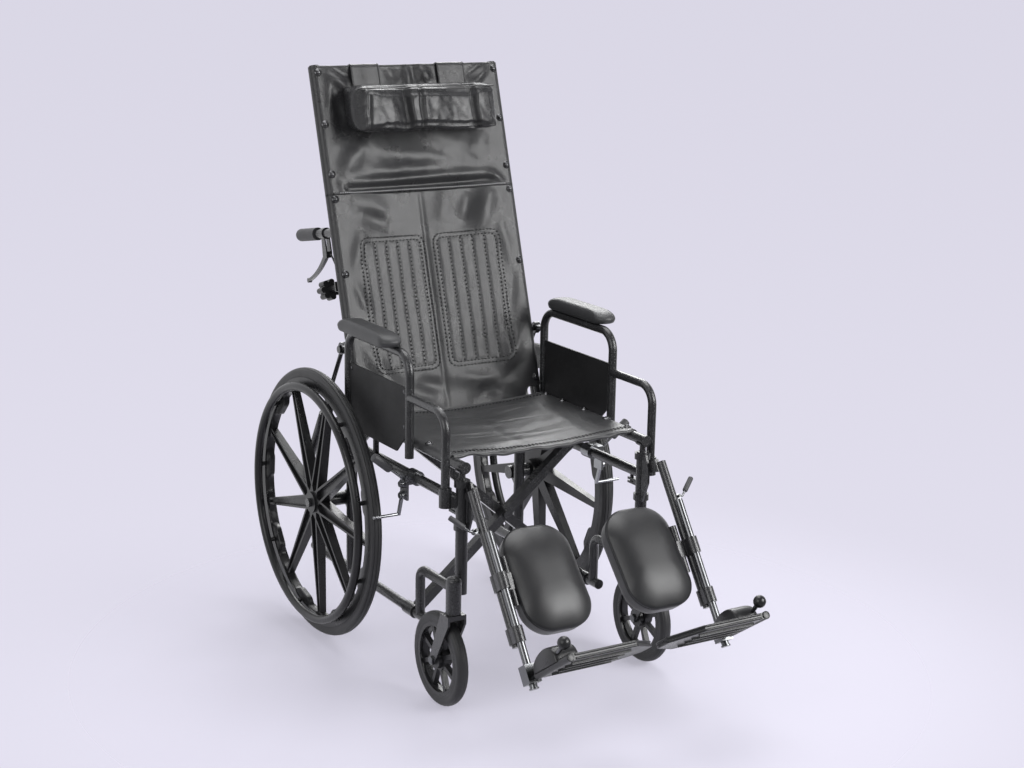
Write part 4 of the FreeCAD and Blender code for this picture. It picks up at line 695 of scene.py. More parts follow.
class Finishes:
    """Every finish of the chair, and the materials made from them."""

    vinyl = Finish("sling vinyl", "vinyl", Shade.VINYL, Shade.VINYL_WORN, Relief.LEATHER, 0.38, 0.0005,
                   0.24, 0.38, coat=0.22, wear=0.35)
    gloss_vinyl = Finish("pillow vinyl", "vinyl", Shade.VINYL, Shade.VINYL_WORN, Relief.LEATHER, 0.26, 0.0005,
                         0.22, 0.33, coat=0.16, wear=0.3)
    # The seat's finish: the same vinyl, made lighter as a painted sheen.
    seat_vinyl = Finish("seat vinyl", "vinyl", Shade.VINYL_PAINTED_SHEEN, Shade.SEAT_WORN, Relief.LEATHER, 0.35, 0.0004,
                        0.32, 0.46, coat=0.3, wear=0.6)
    skin = Finish("pad skin", "pad_skin", Shade.VINYL, Shade.PLASTIC_WORN, Relief.LEATHER, 0.26, 0.0003,
                  0.30, 0.40, coat=0.12, wear=0.3)
    # The arm pads' finish: the skin made lighter as a painted sheen on their tops.
    arm_skin = Finish("arm pad skin", "pad_skin", Shade.VINYL_PAINTED_SHEEN, Shade.SEAT_WORN, Relief.LEATHER, 0.26, 0.0003,
                      0.38, 0.50, coat=0.08, wear=0.4)
    paint = Finish("frame paint", "frame_paint", Shade.PAINT, Shade.PAINT_FLECK, Relief.HAMMERED, 0.6, 0.0005,
                   0.18, 0.30, metallic=0.3, coat=0.6, wear=0.7)
    chrome = Finish("chrome plate", "chrome", Shade.CHROME, Shade.CHROME_DULL, Relief.BRUSHED, 0.04, 0.0001,
                    0.20, 0.32, metallic=1.0, wear=0.6)
    steel = Finish("zinc plate", "steel", Shade.STEEL, Shade.STEEL_DULL, Relief.BRUSHED, 0.08, 0.0002,
                   0.16, 0.30, metallic=1.0, wear=0.8)
    screw = Finish("dark plated screw", "steel", Shade.GUNMETAL, Shade.GUNMETAL_WORN, Relief.BRUSHED,
                   0.08, 0.0001, 0.20, 0.34, metallic=1.0, wear=0.7)
    plastic = Finish("moulded plastic", "plastic", Shade.PLASTIC, Shade.PLASTIC_WORN, Relief.MOULDED,
                     0.22, 0.0003, 0.24, 0.38, wear=0.5)
    rubber = Finish("tyre rubber", "tyre", Shade.RUBBER, Shade.RUBBER_WORN, Relief.MOULDED, 0.30, 0.0004,
                    0.40, 0.58, wear=0.6)
    panel = Finish("skirt panel", "plastic", Shade.PANEL, Shade.PANEL_WORN, Relief.MOULDED, 0.5, 0.0004,
                   0.55, 0.72, wear=0.4)
    grip = Finish("grip rubber", "rubber", Shade.GRIP, Shade.GRIP_WORN, Relief.MOULDED, 0.4, 0.0004,
                  0.42, 0.60, wear=0.6)
    # The dark thread holds painted shade of the stitch holes as well as its own black.
    thread = Finish("sewing thread", "vinyl", Shade.THREAD, Shade.VINYL_WORN, Relief.TWISTED, 0.5, 0.0002,
                    0.50, 0.65, wear=0.3)
    pale_thread = Finish("pale sewing thread", "vinyl", Shade.PALE_THREAD, Shade.GUNMETAL_WORN,
                         Relief.TWISTED, 0.5, 0.0002, 0.45, 0.60, wear=0.3)

    def __init__(self) -> None:
        """Builds the groups and starts with no materials."""
        self.groups = Groups()
        self.made: dict[str, bpy.types.Material] = {}

    def dress(self, piece: Piece, finish: Finish) -> Piece:
        """Gives a piece its finish.

        Args:
            piece: the object.
            finish: its finish.

        Returns:
            The same object.
        """
        if finish.name not in self.made:
            self.made[finish.name] = finish.material(self.groups)
        piece.data.materials.clear()
        piece.data.materials.append(self.made[finish.name])
        return piece


# Upholstery

# Folds of the slings, each as X and distance along of its start and of its end, its width and its height
BACK_FOLDS = (
    (-0.006, 0.02, -0.004, 0.52, 0.006, -0.0035), (0.172, 0.515, 0.135, 0.410, 0.024, 0.009),
    (0.127, 0.505, 0.098, 0.440, 0.020, -0.008), (-0.160, 0.470, -0.095, 0.440, 0.020, -0.006),
    (-0.190, 0.505, -0.090, 0.470, 0.026, 0.006), (-0.215, 0.335, -0.165, 0.430, 0.018, 0.006),
    (-0.212, 0.325, -0.178, 0.250, 0.014, -0.005), (0.215, 0.330, 0.186, 0.440, 0.018, 0.006),
    (0.213, 0.320, 0.190, 0.230, 0.014, -0.005), (0.060, 0.515, 0.040, 0.440, 0.022, 0.004),
    (0.215, 0.175, 0.120, 0.050, 0.022, 0.008), (0.190, 0.100, 0.070, 0.030, 0.020, -0.007),
    (-0.215, 0.175, -0.120, 0.050, 0.020, 0.007), (-0.160, 0.090, -0.030, 0.040, 0.022, 0.006),
    (-0.080, 0.080, -0.010, 0.065, 0.016, -0.006), (0.020, 0.085, 0.150, 0.060, 0.018, 0.006),
)
HEAD_FOLDS = (
    (-0.200, 0.5275, 0.190, 0.5315, 0.0085, -0.011), (-0.205, 0.5435, 0.190, 0.549, 0.011, 0.004),
    (-0.150, 0.560, 0.050, 0.568, 0.017, -0.005), (-0.212, 0.560, -0.130, 0.630, 0.024, 0.008),
    (-0.137, 0.612, 0.110, 0.578, 0.026, 0.007), (0.060, 0.590, 0.150, 0.570, 0.022, -0.004),
    (0.180, 0.542, 0.219, 0.524, 0.010, 0.010), (0.176, 0.645, 0.140, 0.585, 0.028, 0.005),
    (-0.216, 0.790, -0.160, 0.757, 0.012, 0.010), (-0.190, 0.800, -0.130, 0.775, 0.012, -0.006),
    (0.219, 0.801, 0.170, 0.760, 0.012, 0.010), (0.195, 0.800, 0.155, 0.780, 0.010, -0.005),
    (-0.004, 0.800, -0.001, 0.757, 0.009, 0.008), (0.015, 0.800, 0.020, 0.765, 0.008, -0.006),
    (0.028, 0.798, 0.052, 0.765, 0.014, 0.010), (-0.050, 0.798, -0.030, 0.765, 0.014, -0.006),
    (-0.203, 0.780, -0.214, 0.700, 0.010, 0.007), (-0.190, 0.740, -0.185, 0.660, 0.016, -0.006),
    (-0.214, 0.545, -0.196, 0.515, 0.008, 0.008),
)
SEAT_FOLDS = (
    (-0.030, 0.02, -0.010, 0.35, 0.012, -0.002), (-0.190, 0.05, 0.100, 0.075, 0.016, 0.0025),
    (-0.150, 0.12, 0.160, 0.145, 0.020, -0.0025), (-0.180, 0.20, 0.120, 0.22, 0.018, 0.0025),
    (-0.100, 0.28, 0.180, 0.27, 0.020, -0.002), (0.120, 0.01, 0.170, 0.33, 0.016, 0.002),
)


@dataclass(frozen=True)
class Fold:
    """A soft fold in a cloth: a rounded ridge along a line that fades at its ends.

    Attributes:
        start: where it begins, as X and the distance along the cloth.
        end: where it ends.
        width: how far its flanks reach.
        height: how high it stands, below 0 for a valley.
    """

    start: tuple[float, float]
    end: tuple[float, float]
    width: float
    height: float

    def rise(self, x: Array, along: Array) -> Array:
        """The fold's height over the cloth: height * exp(-(distance / width)^2) * sin(pi * share)^0.7.

        Args:
            x: X of each point.
            along: distance along the cloth of each point.

        Returns:
            The height at each point.
        """
        reach = np.subtract(self.end, self.start)
        share = ((x - self.start[0]) * reach[0] + (along - self.start[1]) * reach[1]) / (reach @ reach)
        held = np.clip(share, 0.0, 1.0)
        off_x = x - self.start[0] - held * reach[0]
        off_along = along - self.start[1] - held * reach[1]
        distance = np.hypot(off_x, off_along)
        fade = np.sin(np.pi * np.clip(0.06 + 0.88 * held, 0.0, 1.0)) ** 0.7
        return self.height * np.exp(-(distance / self.width) ** 2) * fade


def ripples(x: Array, along: Array, seed: int, height: float, shortest: float, longest: float) -> Array:
    """Small uneven waves of a sheet: a sum of plane waves of seeded directions, lengths and starts.

    Args:
        x: first coordinate of each point.
        along: second coordinate of each point.
        seed: number that fixes the waves.
        height: about how high they stand.
        shortest: the shortest wave.
        longest: the longest wave.

    Returns:
        The height at each point.
    """
    dice = np.random.default_rng(seed)
    count = 14
    heading = dice.uniform(0.0, np.pi, count)
    length = np.exp(dice.uniform(math.log(shortest), math.log(longest), count))
    start = dice.uniform(0.0, 2.0 * np.pi, count)
    phase = x[..., None] * np.cos(heading) + along[..., None] * np.sin(heading)
    waves = np.sin(2.0 * np.pi * phase / length + start) * (length / longest)
    return height * waves.sum(axis=-1) / math.sqrt(count)


def folds_of(rows: tuple[tuple[float, ...], ...]) -> tuple[Fold, ...]:
    """The folds of a table whose rows hold a start, an end, a width and a height."""
    return tuple(Fold(row[:2], row[2:4], *row[4:]) for row in rows)


def creases(count: int, seed: int) -> tuple[Fold, ...]:
    """Fine creases across a seat, laid by seeded chance and nearly square to its bars.

    Args:
        count: number of creases.
        seed: number that fixes them.

    Returns:
        The creases as folds.
    """
    dice = np.random.default_rng(seed)
    made = []
    for _ in range(count):
        x = dice.uniform(-0.18, 0.05)
        along = dice.uniform(0.02, 0.34)
        reach = dice.uniform(0.06, 0.16)
        lean = dice.uniform(-0.008, 0.014)
        height = dice.choice([-1.0, 1.0]) * dice.uniform(0.0006, 0.0014)
        width = dice.uniform(0.003, 0.006)
        made.append(Fold((x, along), (x + reach, along + lean), width, float(height)))
    return tuple(made)


@dataclass
class Sling:
    """A vinyl sheet stretched between two bars and hemmed round their outsides.

    Attributes:
        name: the piece's name.
        line: the plane that the bars lie in.
        low: where the cloth begins along the bars.
        high: where it ends.
        half_span: half the distance between the bars.
        sag: how far the middle hollows.
        wrap: the angle round the bar, from its front, where the hem ends.
        notch: where along the bar the hem steps back for a pin, or None.
        tail: how far the middle hangs below the ends of the lower edge.
        folds: its folds.
        ripple: height of its small waves.
        seed: number that fixes the waves.
        waves: the shortest and longest of the small waves.
        fine_waves: the same for finer waves laid over them.
        fine_share: height of the finer waves as a share of the others.
        fade: how far from the bars the waves and folds die away.
        bar_radius: from a bar's middle to the cloth's face.
        thickness: the cloth's thickness.
        cell: about the size of one face of the grid.
        edge_points: points along an edge.
        notch_half: about half the notch's length.
        notch_wrap: the angle where the hem ends at the notch.
        tail_half: half the tail's width.
        tail_fade: the width over which the tail's sides come down.
    """

    name: str
    line: LeaningLine
    low: float
    high: float
    half_span: float
    sag: float
    wrap: float
    notch: float | None = None
    tail: float = 0.0
    folds: tuple[Fold, ...] = ()
    ripple: float = 0.0006
    seed: int = 1
    waves: tuple[float, float] = (0.05, 0.22)
    fine_waves: tuple[float, float] = (0.014, 0.05)
    fine_share: float = 0.22
    fade: float = 0.05
    bar_radius: float = 0.0139
    thickness: float = 0.0022
    cell: float = 0.0032
    edge_points: int = 150
    notch_half: float = 0.016
    notch_wrap: float = 57.0
    tail_half: float = 0.205
    tail_fade: float = 0.036

    def low_edge(self, across: Array) -> Array:
        """Where the cloth begins along the bars: lower by the tail between the bars."""
        return self.low - self.tail * smooth_step((self.tail_half - np.abs(across)) / self.tail_fade)

    def hem_angle(self, along: Array) -> Array:
        """The angle round the bar where the hem ends, less near the notch.

        Args:
            along: distance along the bars.

        Returns:
            The angle at each distance, in radians.
        """
        if self.notch is None:
            return np.full(np.shape(along), math.radians(self.wrap))
        near = np.exp(-((along - self.notch) / self.notch_half) ** 4)
        return np.radians(self.wrap - (self.wrap - self.notch_wrap) * near)

    def relief(self, x: Array, along: Array) -> Array:
        """How far the cloth stands off its plain stretched form: ripples and folds.

        Args:
            x: distance across the cloth from its middle.
            along: distance along the bars.

        Returns:
            The height at each point, fading to nothing on the bars.
        """
        height = ripples(x, along, self.seed, self.ripple, *self.waves)
        height = height + ripples(x, along, self.seed + 50, self.fine_share * self.ripple, *self.fine_waves)
        for fold in self.folds:
            height = height + fold.rise(x, along)
        return height * smooth_step((self.half_span - np.abs(x)) / self.fade)

    def place(self, across: Array, along: Array, lift: float = 0.0) -> Array:
        """Points on the cloth's face.

        Between the bars a point is at X = across, hollowed by sag * (1 - (X / half_span)^2)^1.5.
        Beyond them it goes round the bar: X = half_span + radius * sin(a), front = radius * cos(a).

        Args:
            across: distance from the middle, measured over the cloth.
            along: distance along the bars.
            lift: height above the face.

        Returns:
            The points.
        """
        flat = np.clip(across, -self.half_span, self.half_span)
        angle = (across - flat) / self.bar_radius
        raised = self.relief(flat, along) + lift
        hollow = self.sag * (1.0 - (flat / self.half_span) ** 2) ** 1.5
        x = flat + (self.bar_radius + raised) * np.sin(angle)
        front = (self.bar_radius + raised) * np.cos(angle) - hollow
        return self.line.point(x, along, front)

    def build(self) -> Piece:
        """The whole sheet, hem to hem."""
        return self.strip(self.name, -1.0, 1.0)

    def build_middle(self) -> Piece:
        """The part of the sheet between the bars."""
        bar = self.half_span / self.reach()
        return self.strip(self.name, -bar, bar)

    def build_sleeve(self, side: Side) -> Piece:
        """The hem round one bar.

        Args:
            side: the bar's side.

        Returns:
            The sleeve.
        """
        first, last = sorted((side.sign * self.half_span / self.reach(), side.sign))
        return self.strip(f"{self.name}_sleeve_{side.name}", first, last)

    def reach(self) -> float:
        """From the middle to the end of a hem, measured over the cloth."""
        return self.half_span + self.bar_radius * math.radians(self.wrap)

    def strip(self, name: str, first: float, last: float) -> Piece:
        """A strip of the sheet as a grid across and along, with its thickness behind its face.

        Args:
            name: the piece's name.
            first: where the strip begins, from -1 at the right hem to 1 at the left one.
            last: where it ends.

        Returns:
            The strip.
        """
        columns = max(6, int((last - first) * self.reach() / self.cell))
        rows = int((self.high - self.low) / self.cell)
        share = np.linspace(first, last, columns)[None, :]
        low = self.low_edge(share * self.reach())
        along = low + np.linspace(0.0, 1.0, rows)[:, None] * (self.high - low)
        across = share * (self.half_span + self.bar_radius * self.hem_angle(along))
        piece = surface(name, self.place(across, along))
        sharpen_border(piece.data)
        wall = piece.modifiers.new("thickness", "SOLIDIFY")
        wall.thickness = self.thickness
        wall.offset = -1.0
        return piece

    def flat_size(self) -> tuple[float, float]:
        """The width and length that the sheet is cut to."""
        return 2.0 * self.reach(), self.high - self.low + self.tail

    def edge(self, along: float, lift: float = 0.0, lowest: bool = False) -> Array:
        """Points across the cloth, bar to bar.

        Args:
            along: their distance along the bars.
            lift: their height above the face.
            lowest: whether they follow the lower edge down its tail.

        Returns:
            The points.
        """
        across = np.linspace(-self.half_span, self.half_span, self.edge_points)
        level = self.low_edge(across) if lowest else np.full_like(across, along)
        return self.place(across, level, lift)


@dataclass
class QuiltedSling(Sling):
    """The back's sheet, with two sewn panels of padded channels.

    Attributes:
        panel_inner: the panels' inner edge, from the middle.
        panel_outer: their outer edge.
        panel_low: their lower edge.
        panel_high: their upper edge.
        panel_corner: radius of their corners.
        border: width of the plain border round the channels.
        channels: padded channels in a panel.
        swell: how high the padding stands.
        channel_share: a channel's height as a share of the swell.
        welt_share: the border's height as a share of the swell.
        welt_half: half the width of the border's rounded top.
        groove: half the width of the valley at a seam.
        edge_rise: the width over which a panel's edge rises.
        end_rise: the length over which a channel's end rises.
        seam_inset: from a panel's edge to its outer seam.
        seam_points: points round a seam.
    """

    panel_inner: float = 0.011
    panel_outer: float = 0.181
    panel_low: float = 0.108
    panel_high: float = 0.416
    panel_corner: float = 0.020
    border: float = 0.010
    channels: int = 5
    swell: float = 0.0019
    channel_share: float = 0.85
    welt_share: float = 0.62
    welt_half: float = 0.003125
    groove: float = 0.0036
    edge_rise: float = 0.004
    end_rise: float = 0.008
    seam_inset: float = 0.0005
    seam_points: int = 240

    @property
    def panel(self) -> tuple[Array, Array]:
        """The left panel's middle and half size, across and along."""
        low = np.array([self.panel_inner, self.panel_low])
        high = np.array([self.panel_outer, self.panel_high])
        return (low + high) / 2.0, (high - low) / 2.0

    @property
    def channel_width(self) -> float:
        """From one seam between channels to the next."""
        return (self.panel_outer - self.panel_inner - 2.0 * self.border) / self.channels

    def panel_depth(self, x: Array, along: Array) -> Array:
        """How far inside its panel's round-cornered edge a point lies, below 0 outside.

        Args:
            x: distance across the cloth from its middle.
            along: distance along the bars.

        Returns:
            The depth at each point.
        """
        middle, half = self.panel
        over_x = np.abs(np.abs(x) - middle[0]) - half[0] + self.panel_corner
        over_along = np.abs(along - middle[1]) - half[1] + self.panel_corner
        corner = np.hypot(np.maximum(over_x, 0.0), np.maximum(over_along, 0.0))
        return self.panel_corner - corner - np.minimum(np.maximum(over_x, over_along), 0.0)

    def relief(self, x: Array, along: Array) -> Array:
        """The plain sheet's relief, with padded channels between sewn valleys inside each panel.

        Inside the border a channel stands channel_share * swell * (1 - exp(-(d / groove)^2)), where d is
        the way to its nearest seam.

        Args:
            x: distance across the cloth from its middle.
            along: distance along the bars.

        Returns:
            The height at each point.
        """
        depth = self.panel_depth(x, along)
        inside = np.clip(depth / self.edge_rise, 0.0, 1.0)
        first = self.panel_inner + self.border
        width = self.channel_width
        count = np.clip((np.abs(x) - first) / width, 0.0, self.channels)
        from_seam = np.abs(count - np.round(count)) * width
        channel = 1.0 - np.exp(-(from_seam / self.groove) ** 2)
        ends = np.clip((depth - self.border) / self.end_rise, 0.0, 1.0)
        welt = np.exp(-((depth - self.border / 2.0) / self.welt_half) ** 2)
        padding = np.where(depth > self.border, channel * np.sqrt(ends), 0.0)
        quilting = self.channel_share * padding + self.welt_share * welt
        return super().relief(x, along) + inside * self.swell * quilting

    def seams(self) -> list[Array]:
        """The sewn lines as X and distance along: two round each panel and those between channels."""
        middle, half = self.panel
        corner_follow = 0.8
        low = self.panel_low + self.border
        high = self.panel_high - self.border
        paths = []
        for side in (-1.0, 1.0):
            for inset in (self.seam_inset, self.border):
                corner = self.panel_corner - inset * corner_follow
                outline = rounded_rectangle(half[0] - inset, half[1] - inset, corner, self.seam_points)
                paths.append(np.concatenate([outline, outline[:1]]) + middle * np.array([side, 1.0]))
            for number in range(1, self.channels):
                x = side * (self.panel_inner + self.border + self.channel_width * number)
                paths.append(np.array([[x, low], [x, high]]))
        return paths


@dataclass
class Stitching:
    """Rows of sewn stitches: short rounded threads laid end to end along a path on a cloth.

    Attributes:
        length: length of one stitch.
        spacing: distance from one stitch to the next.
        radius: thickness of the thread.
    """

    length: float = 0.0050
    spacing: float = 0.0090
    radius: float = 0.0013

    def build(self, name: str, sling: Sling, paths: list[Array], lift: float = 0.0) -> Piece:
        """Lays the stitches of several rows as one piece.

        A stitch is a spindle of six-sided rings whose radius is radius * (1 - t^4) from end to end.

        Args:
            name: the piece's name.
            sling: the cloth that they are sewn into.
            paths: the rows, as X and distance along the cloth.
            lift: height of the rows above the cloth.

        Returns:
            The new object.
        """
        spots = [along_path(path, self.spacing) for path in paths]
        middle = np.concatenate([(row[1:] + row[:-1]) / 2.0 for row in spots])
        heading = unit(np.concatenate([np.diff(row, axis=0) for row in spots]))
        half = heading * self.length / 2.0
        proud = lift + 0.3 * self.radius
        starts = sling.place(*(middle - half).T, lift=proud)
        ends = sling.place(*(middle + half).T, lift=proud)
        share = np.linspace(-1.0, 1.0, 5)
        reach = np.maximum(1.0 - share ** 4, 0.0) * self.radius
        profile = np.stack([(share + 1.0) / 2.0 * self.length, reach], axis=-1)
        return turned(name, profile, starts, ends - starts, steps=6, sharp=180.0)


def crumple(piece: Piece) -> None:
    """Lets a soft piece of the back ride on the right cane, with a mesh of its own."""
    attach(piece, "cane_right")
    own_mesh(piece)


class Upholstery:
    """The seat, back and head slings with their seams, hems and screws."""

    def __init__(self, finishes: Finishes) -> None:
        """Sets the slings' sizes and folds.

        Args:
            finishes: the chair's finishes.
        """
        self.finishes = finishes
        self.back = QuiltedSling(
            "back_vinyl", BACK_LINE, 0.043, 0.5195, CANE_X, 0.014, 100.0, notch=0.175, tail=0.073,
            ripple=0.0010, seed=4, folds=folds_of(BACK_FOLDS))
        self.head = Sling(
            "head_vinyl", BACK_LINE, 0.515, 0.806, CANE_X, 0.0042, 100.0, ripple=0.0016, seed=7,
            folds=folds_of(HEAD_FOLDS))
        self.seat = Sling(
            "seat_vinyl", SEAT_LINE, 0.0, 0.366, RAIL_X, 0.010, 92.0, ripple=0.0010, seed=11,
            folds=(*folds_of(SEAT_FOLDS), *creases(26, 21)))
        self.stitching = Stitching()

    def build(self) -> None:
        """Makes every piece of the upholstery and seats it on the frame."""
        self.add_back()
        self.add_head()
        self.add_seat()
        self.add_screws()

    def sleeves(self, sling: Sling) -> list[Piece]:
        """The two sleeves of a sheet of the back, each riding on its own cane.

        Args:
            sling: the sheet.

        Returns:
            The sleeves.
        """
        made = []
        for side in SIDES:
            sleeve = self.finishes.dress(sling.build_sleeve(side), Finishes.vinyl)
            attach(sleeve, f"cane_{side.name}")
            made.append(sleeve)
        return made

    def add_back(self) -> None:
        """The quilted back with its stitches and its lower hem."""
        cloth = self.finishes.dress(self.back.build_middle(), Finishes.vinyl)
        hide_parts("back_sling")
        seams = self.stitching.build("back_stitches", self.back, self.back.seams(), lift=0.0016)
        self.finishes.dress(seams, Finishes.thread)
        hem = swept("back_hem", self.back.edge(self.back.low, -0.0012, lowest=True), 0.0022, 8)
        self.finishes.dress(hem, Finishes.vinyl)
        for piece in (cloth, seams, hem):
            crumple(piece)
        self.back.flat_size()
        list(self.sleeves(self.back))
        LOG.info("back sling with %d sewn rows", len(self.back.seams()))

    def add_head(self) -> None:
        """The headrest's sheet with its welted lower seam and its top hem."""
        cloth = self.finishes.dress(self.head.build_middle(), Finishes.vinyl)
        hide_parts("headrest_sling")
        welt = swept("head_welt", self.head.edge(self.head.low + 0.003, 0.0006), 0.0026, 10)
        hem = swept("head_hem", self.head.edge(self.head.high - 0.002, -0.0012), 0.0024, 8)
        for piece in (welt, hem):
            self.finishes.dress(piece, Finishes.vinyl)
        seam_end = 0.214
        level = self.head.low + 0.0042
        row = np.array([[-seam_end, level], [seam_end, level]])
        small = Stitching(length=0.0034, spacing=0.0052, radius=0.0015)
        seam = small.build("head_stitches", self.head, [row], lift=0.0034)
        self.finishes.dress(seam, Finishes.pale_thread)
        for piece in (cloth, welt, hem, seam):
            crumple(piece)
        self.head.flat_size()
        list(self.sleeves(self.head))
        LOG.info("headrest sling")

    def add_seat(self) -> None:
        """The seat's sheet with its front and rear hems and their stitches."""
        # The seat's finish is lighter than the other slings' as a painted sheen.
        cloth = self.finishes.dress(self.seat.build(), Finishes.seat_vinyl)
        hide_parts("seat_sling")
        front = swept("seat_front_hem", self.seat.edge(self.seat.low, -0.0016), 0.0044, 12)
        rear = swept("seat_rear_hem", self.seat.edge(self.seat.high, -0.0010), 0.0026, 8)
        set_mesh_points(front, self.rolled(mesh_points(front)))
        seam_end = 0.22
        rows = [np.array([[-seam_end, at], [seam_end, at]]) for at in (0.016, 0.022, 0.350)]
        seam = self.stitching.build("seat_stitches", self.seat, rows, lift=0.0008)
        for piece in (front, rear):
            self.finishes.dress(piece, Finishes.seat_vinyl)
        self.finishes.dress(seam, Finishes.thread)
        for piece in (cloth, front, rear, seam):
            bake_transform(piece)
        self.seat.flat_size()
        LOG.info("seat sling")

    @staticmethod
    def rolled(points: Array) -> Array:
        """The seat's front hem as a loose roll: its points sink and lean by two waves along X.

        The drop is 0.0016 * (1 + sin(46 x)) + 0.0012 * sin(121 x + 1) and the lean 0.0016 * sin(88 x + 2).

        Args:
            points: the hem's points.

        Returns:
            The moved points.
        """
        x = points[:, 0]
        drop = 0.0016 * (1.0 + np.sin(46.0 * x)) + 0.0012 * np.sin(121.0 * x + 1.0)
        lean = 0.0016 * np.sin(88.0 * x + 2.0)
        return points - drop[:, None] * UP - lean[:, None] * BACK

    def add_screws(self) -> None:
        """Round-headed screws in cup washers, down both canes and along both seat rails."""
        inward = math.radians(8.0)
        cane_rows = ((self.head, (0.562, 0.674, 0.791)), (self.back, (0.062, 0.338, 0.506)))
        for side in SIDES:
            for sling, rows in cane_rows:
                across = side.sign * (sling.half_span - sling.bar_radius * inward)
                name = f"{sling.name}_screws_{side.name}"
                self.screw_row(name, sling, across, rows, sling.line.front, f"cane_{side.name}")
            rail = "cross_front" if side.sign > 0 else "cross_rear"
            across = side.sign * self.seat.half_span
            rows = (0.02, 0.10, 0.19, 0.28, 0.35)
            self.screw_row(f"seat_screws_{side.name}", self.seat, across, rows, UP, rail)
        LOG.info("upholstery screws")

    def screw_row(self, name: str, sling: Sling, across: float, rows: tuple[float, ...], axis: Array,
                  body: str) -> None:
        """Screws along one bar of a sling.

        Args:
            name: the piece's name.
            sling: the sheet that they hold.
            across: where they stand, from the sheet's middle.
            rows: their distances along the bar.
            axis: the way that their heads face.
            body: the body that they ride on.
        """
        cup = np.array([[-0.0006, 0.0], [-0.0006, 0.0088], [0.0008, 0.0088], [0.0024, 0.0064],
                        [0.0019, 0.0051], [0.0032, 0.0047], [0.0046, 0.0031], [0.0051, 0.0]])
        along = np.array(rows)
        heads = sling.place(np.full_like(along, across), along)
        piece = turned(name, cup, heads, axis, steps=18)
        self.finishes.dress(piece, Finishes.screw)
        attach(piece, body)


def inflated(piece: Piece, voxel: float, pressure: float, cap: float) -> None:
    """Swells a closed form as stuffed cloth under pressure, holds each point's movement and smooths it.

    Args:
        piece: the form, changed in place.
        voxel: size of the remesh.
        pressure: pressure inside the cloth.
        cap: the furthest that a point may move.
    """
    remesh = piece.modifiers.new("remesh", "REMESH")
    remesh.mode = "VOXEL"
    remesh.voxel_size = voxel
    bake(piece)
    before = mesh_points(piece)
    cloth = piece.modifiers.new("cloth", "CLOTH")
    cloth.settings.use_pressure = True
    cloth.settings.uniform_pressure_force = pressure
    cloth.settings.effector_weights.gravity = 0.0
    cloth.settings.quality = 5
    scene = bpy.context.scene
    for step in range(1, SIM_STEPS + 1):
        scene.frame_set(step)
    bake(piece)
    scene.frame_set(1)
    move = mesh_points(piece) - before
    size = np.linalg.norm(move, axis=1, keepdims=True)
    set_mesh_points(piece, before + move * np.minimum(1.0, cap / np.maximum(size, 1e-9)))
    smooth = piece.modifiers.new("smooth", "SUBSURF")
    smooth.levels = 1
    smooth.render_levels = 1
    bake(piece)


def bake(piece: Piece) -> None:
    """Applies a piece's modifiers to its mesh.

    Args:
        piece: the piece, changed in place.
    """
    graph = bpy.context.evaluated_depsgraph_get()
    baked = bpy.data.meshes.new_from_object(piece.evaluated_get(graph))
    piece.modifiers.clear()
    piece.data = baked
    baked.polygons.foreach_set("use_smooth", np.ones(len(baked.polygons), bool))


def mesh_points(piece: Piece) -> Array:
    """A piece's points as rows of three coordinates.

    Args:
        piece: the piece.

    Returns:
        The points.
    """
    points = np.zeros(len(piece.data.vertices) * 3)
    piece.data.vertices.foreach_get("co", points)
    return points.reshape(-1, 3)


def set_mesh_points(piece: Piece, points: Array) -> None:
    """Puts changed points back into a piece's mesh."""
    piece.data.vertices.foreach_set("co", points.ravel())
    piece.data.update()


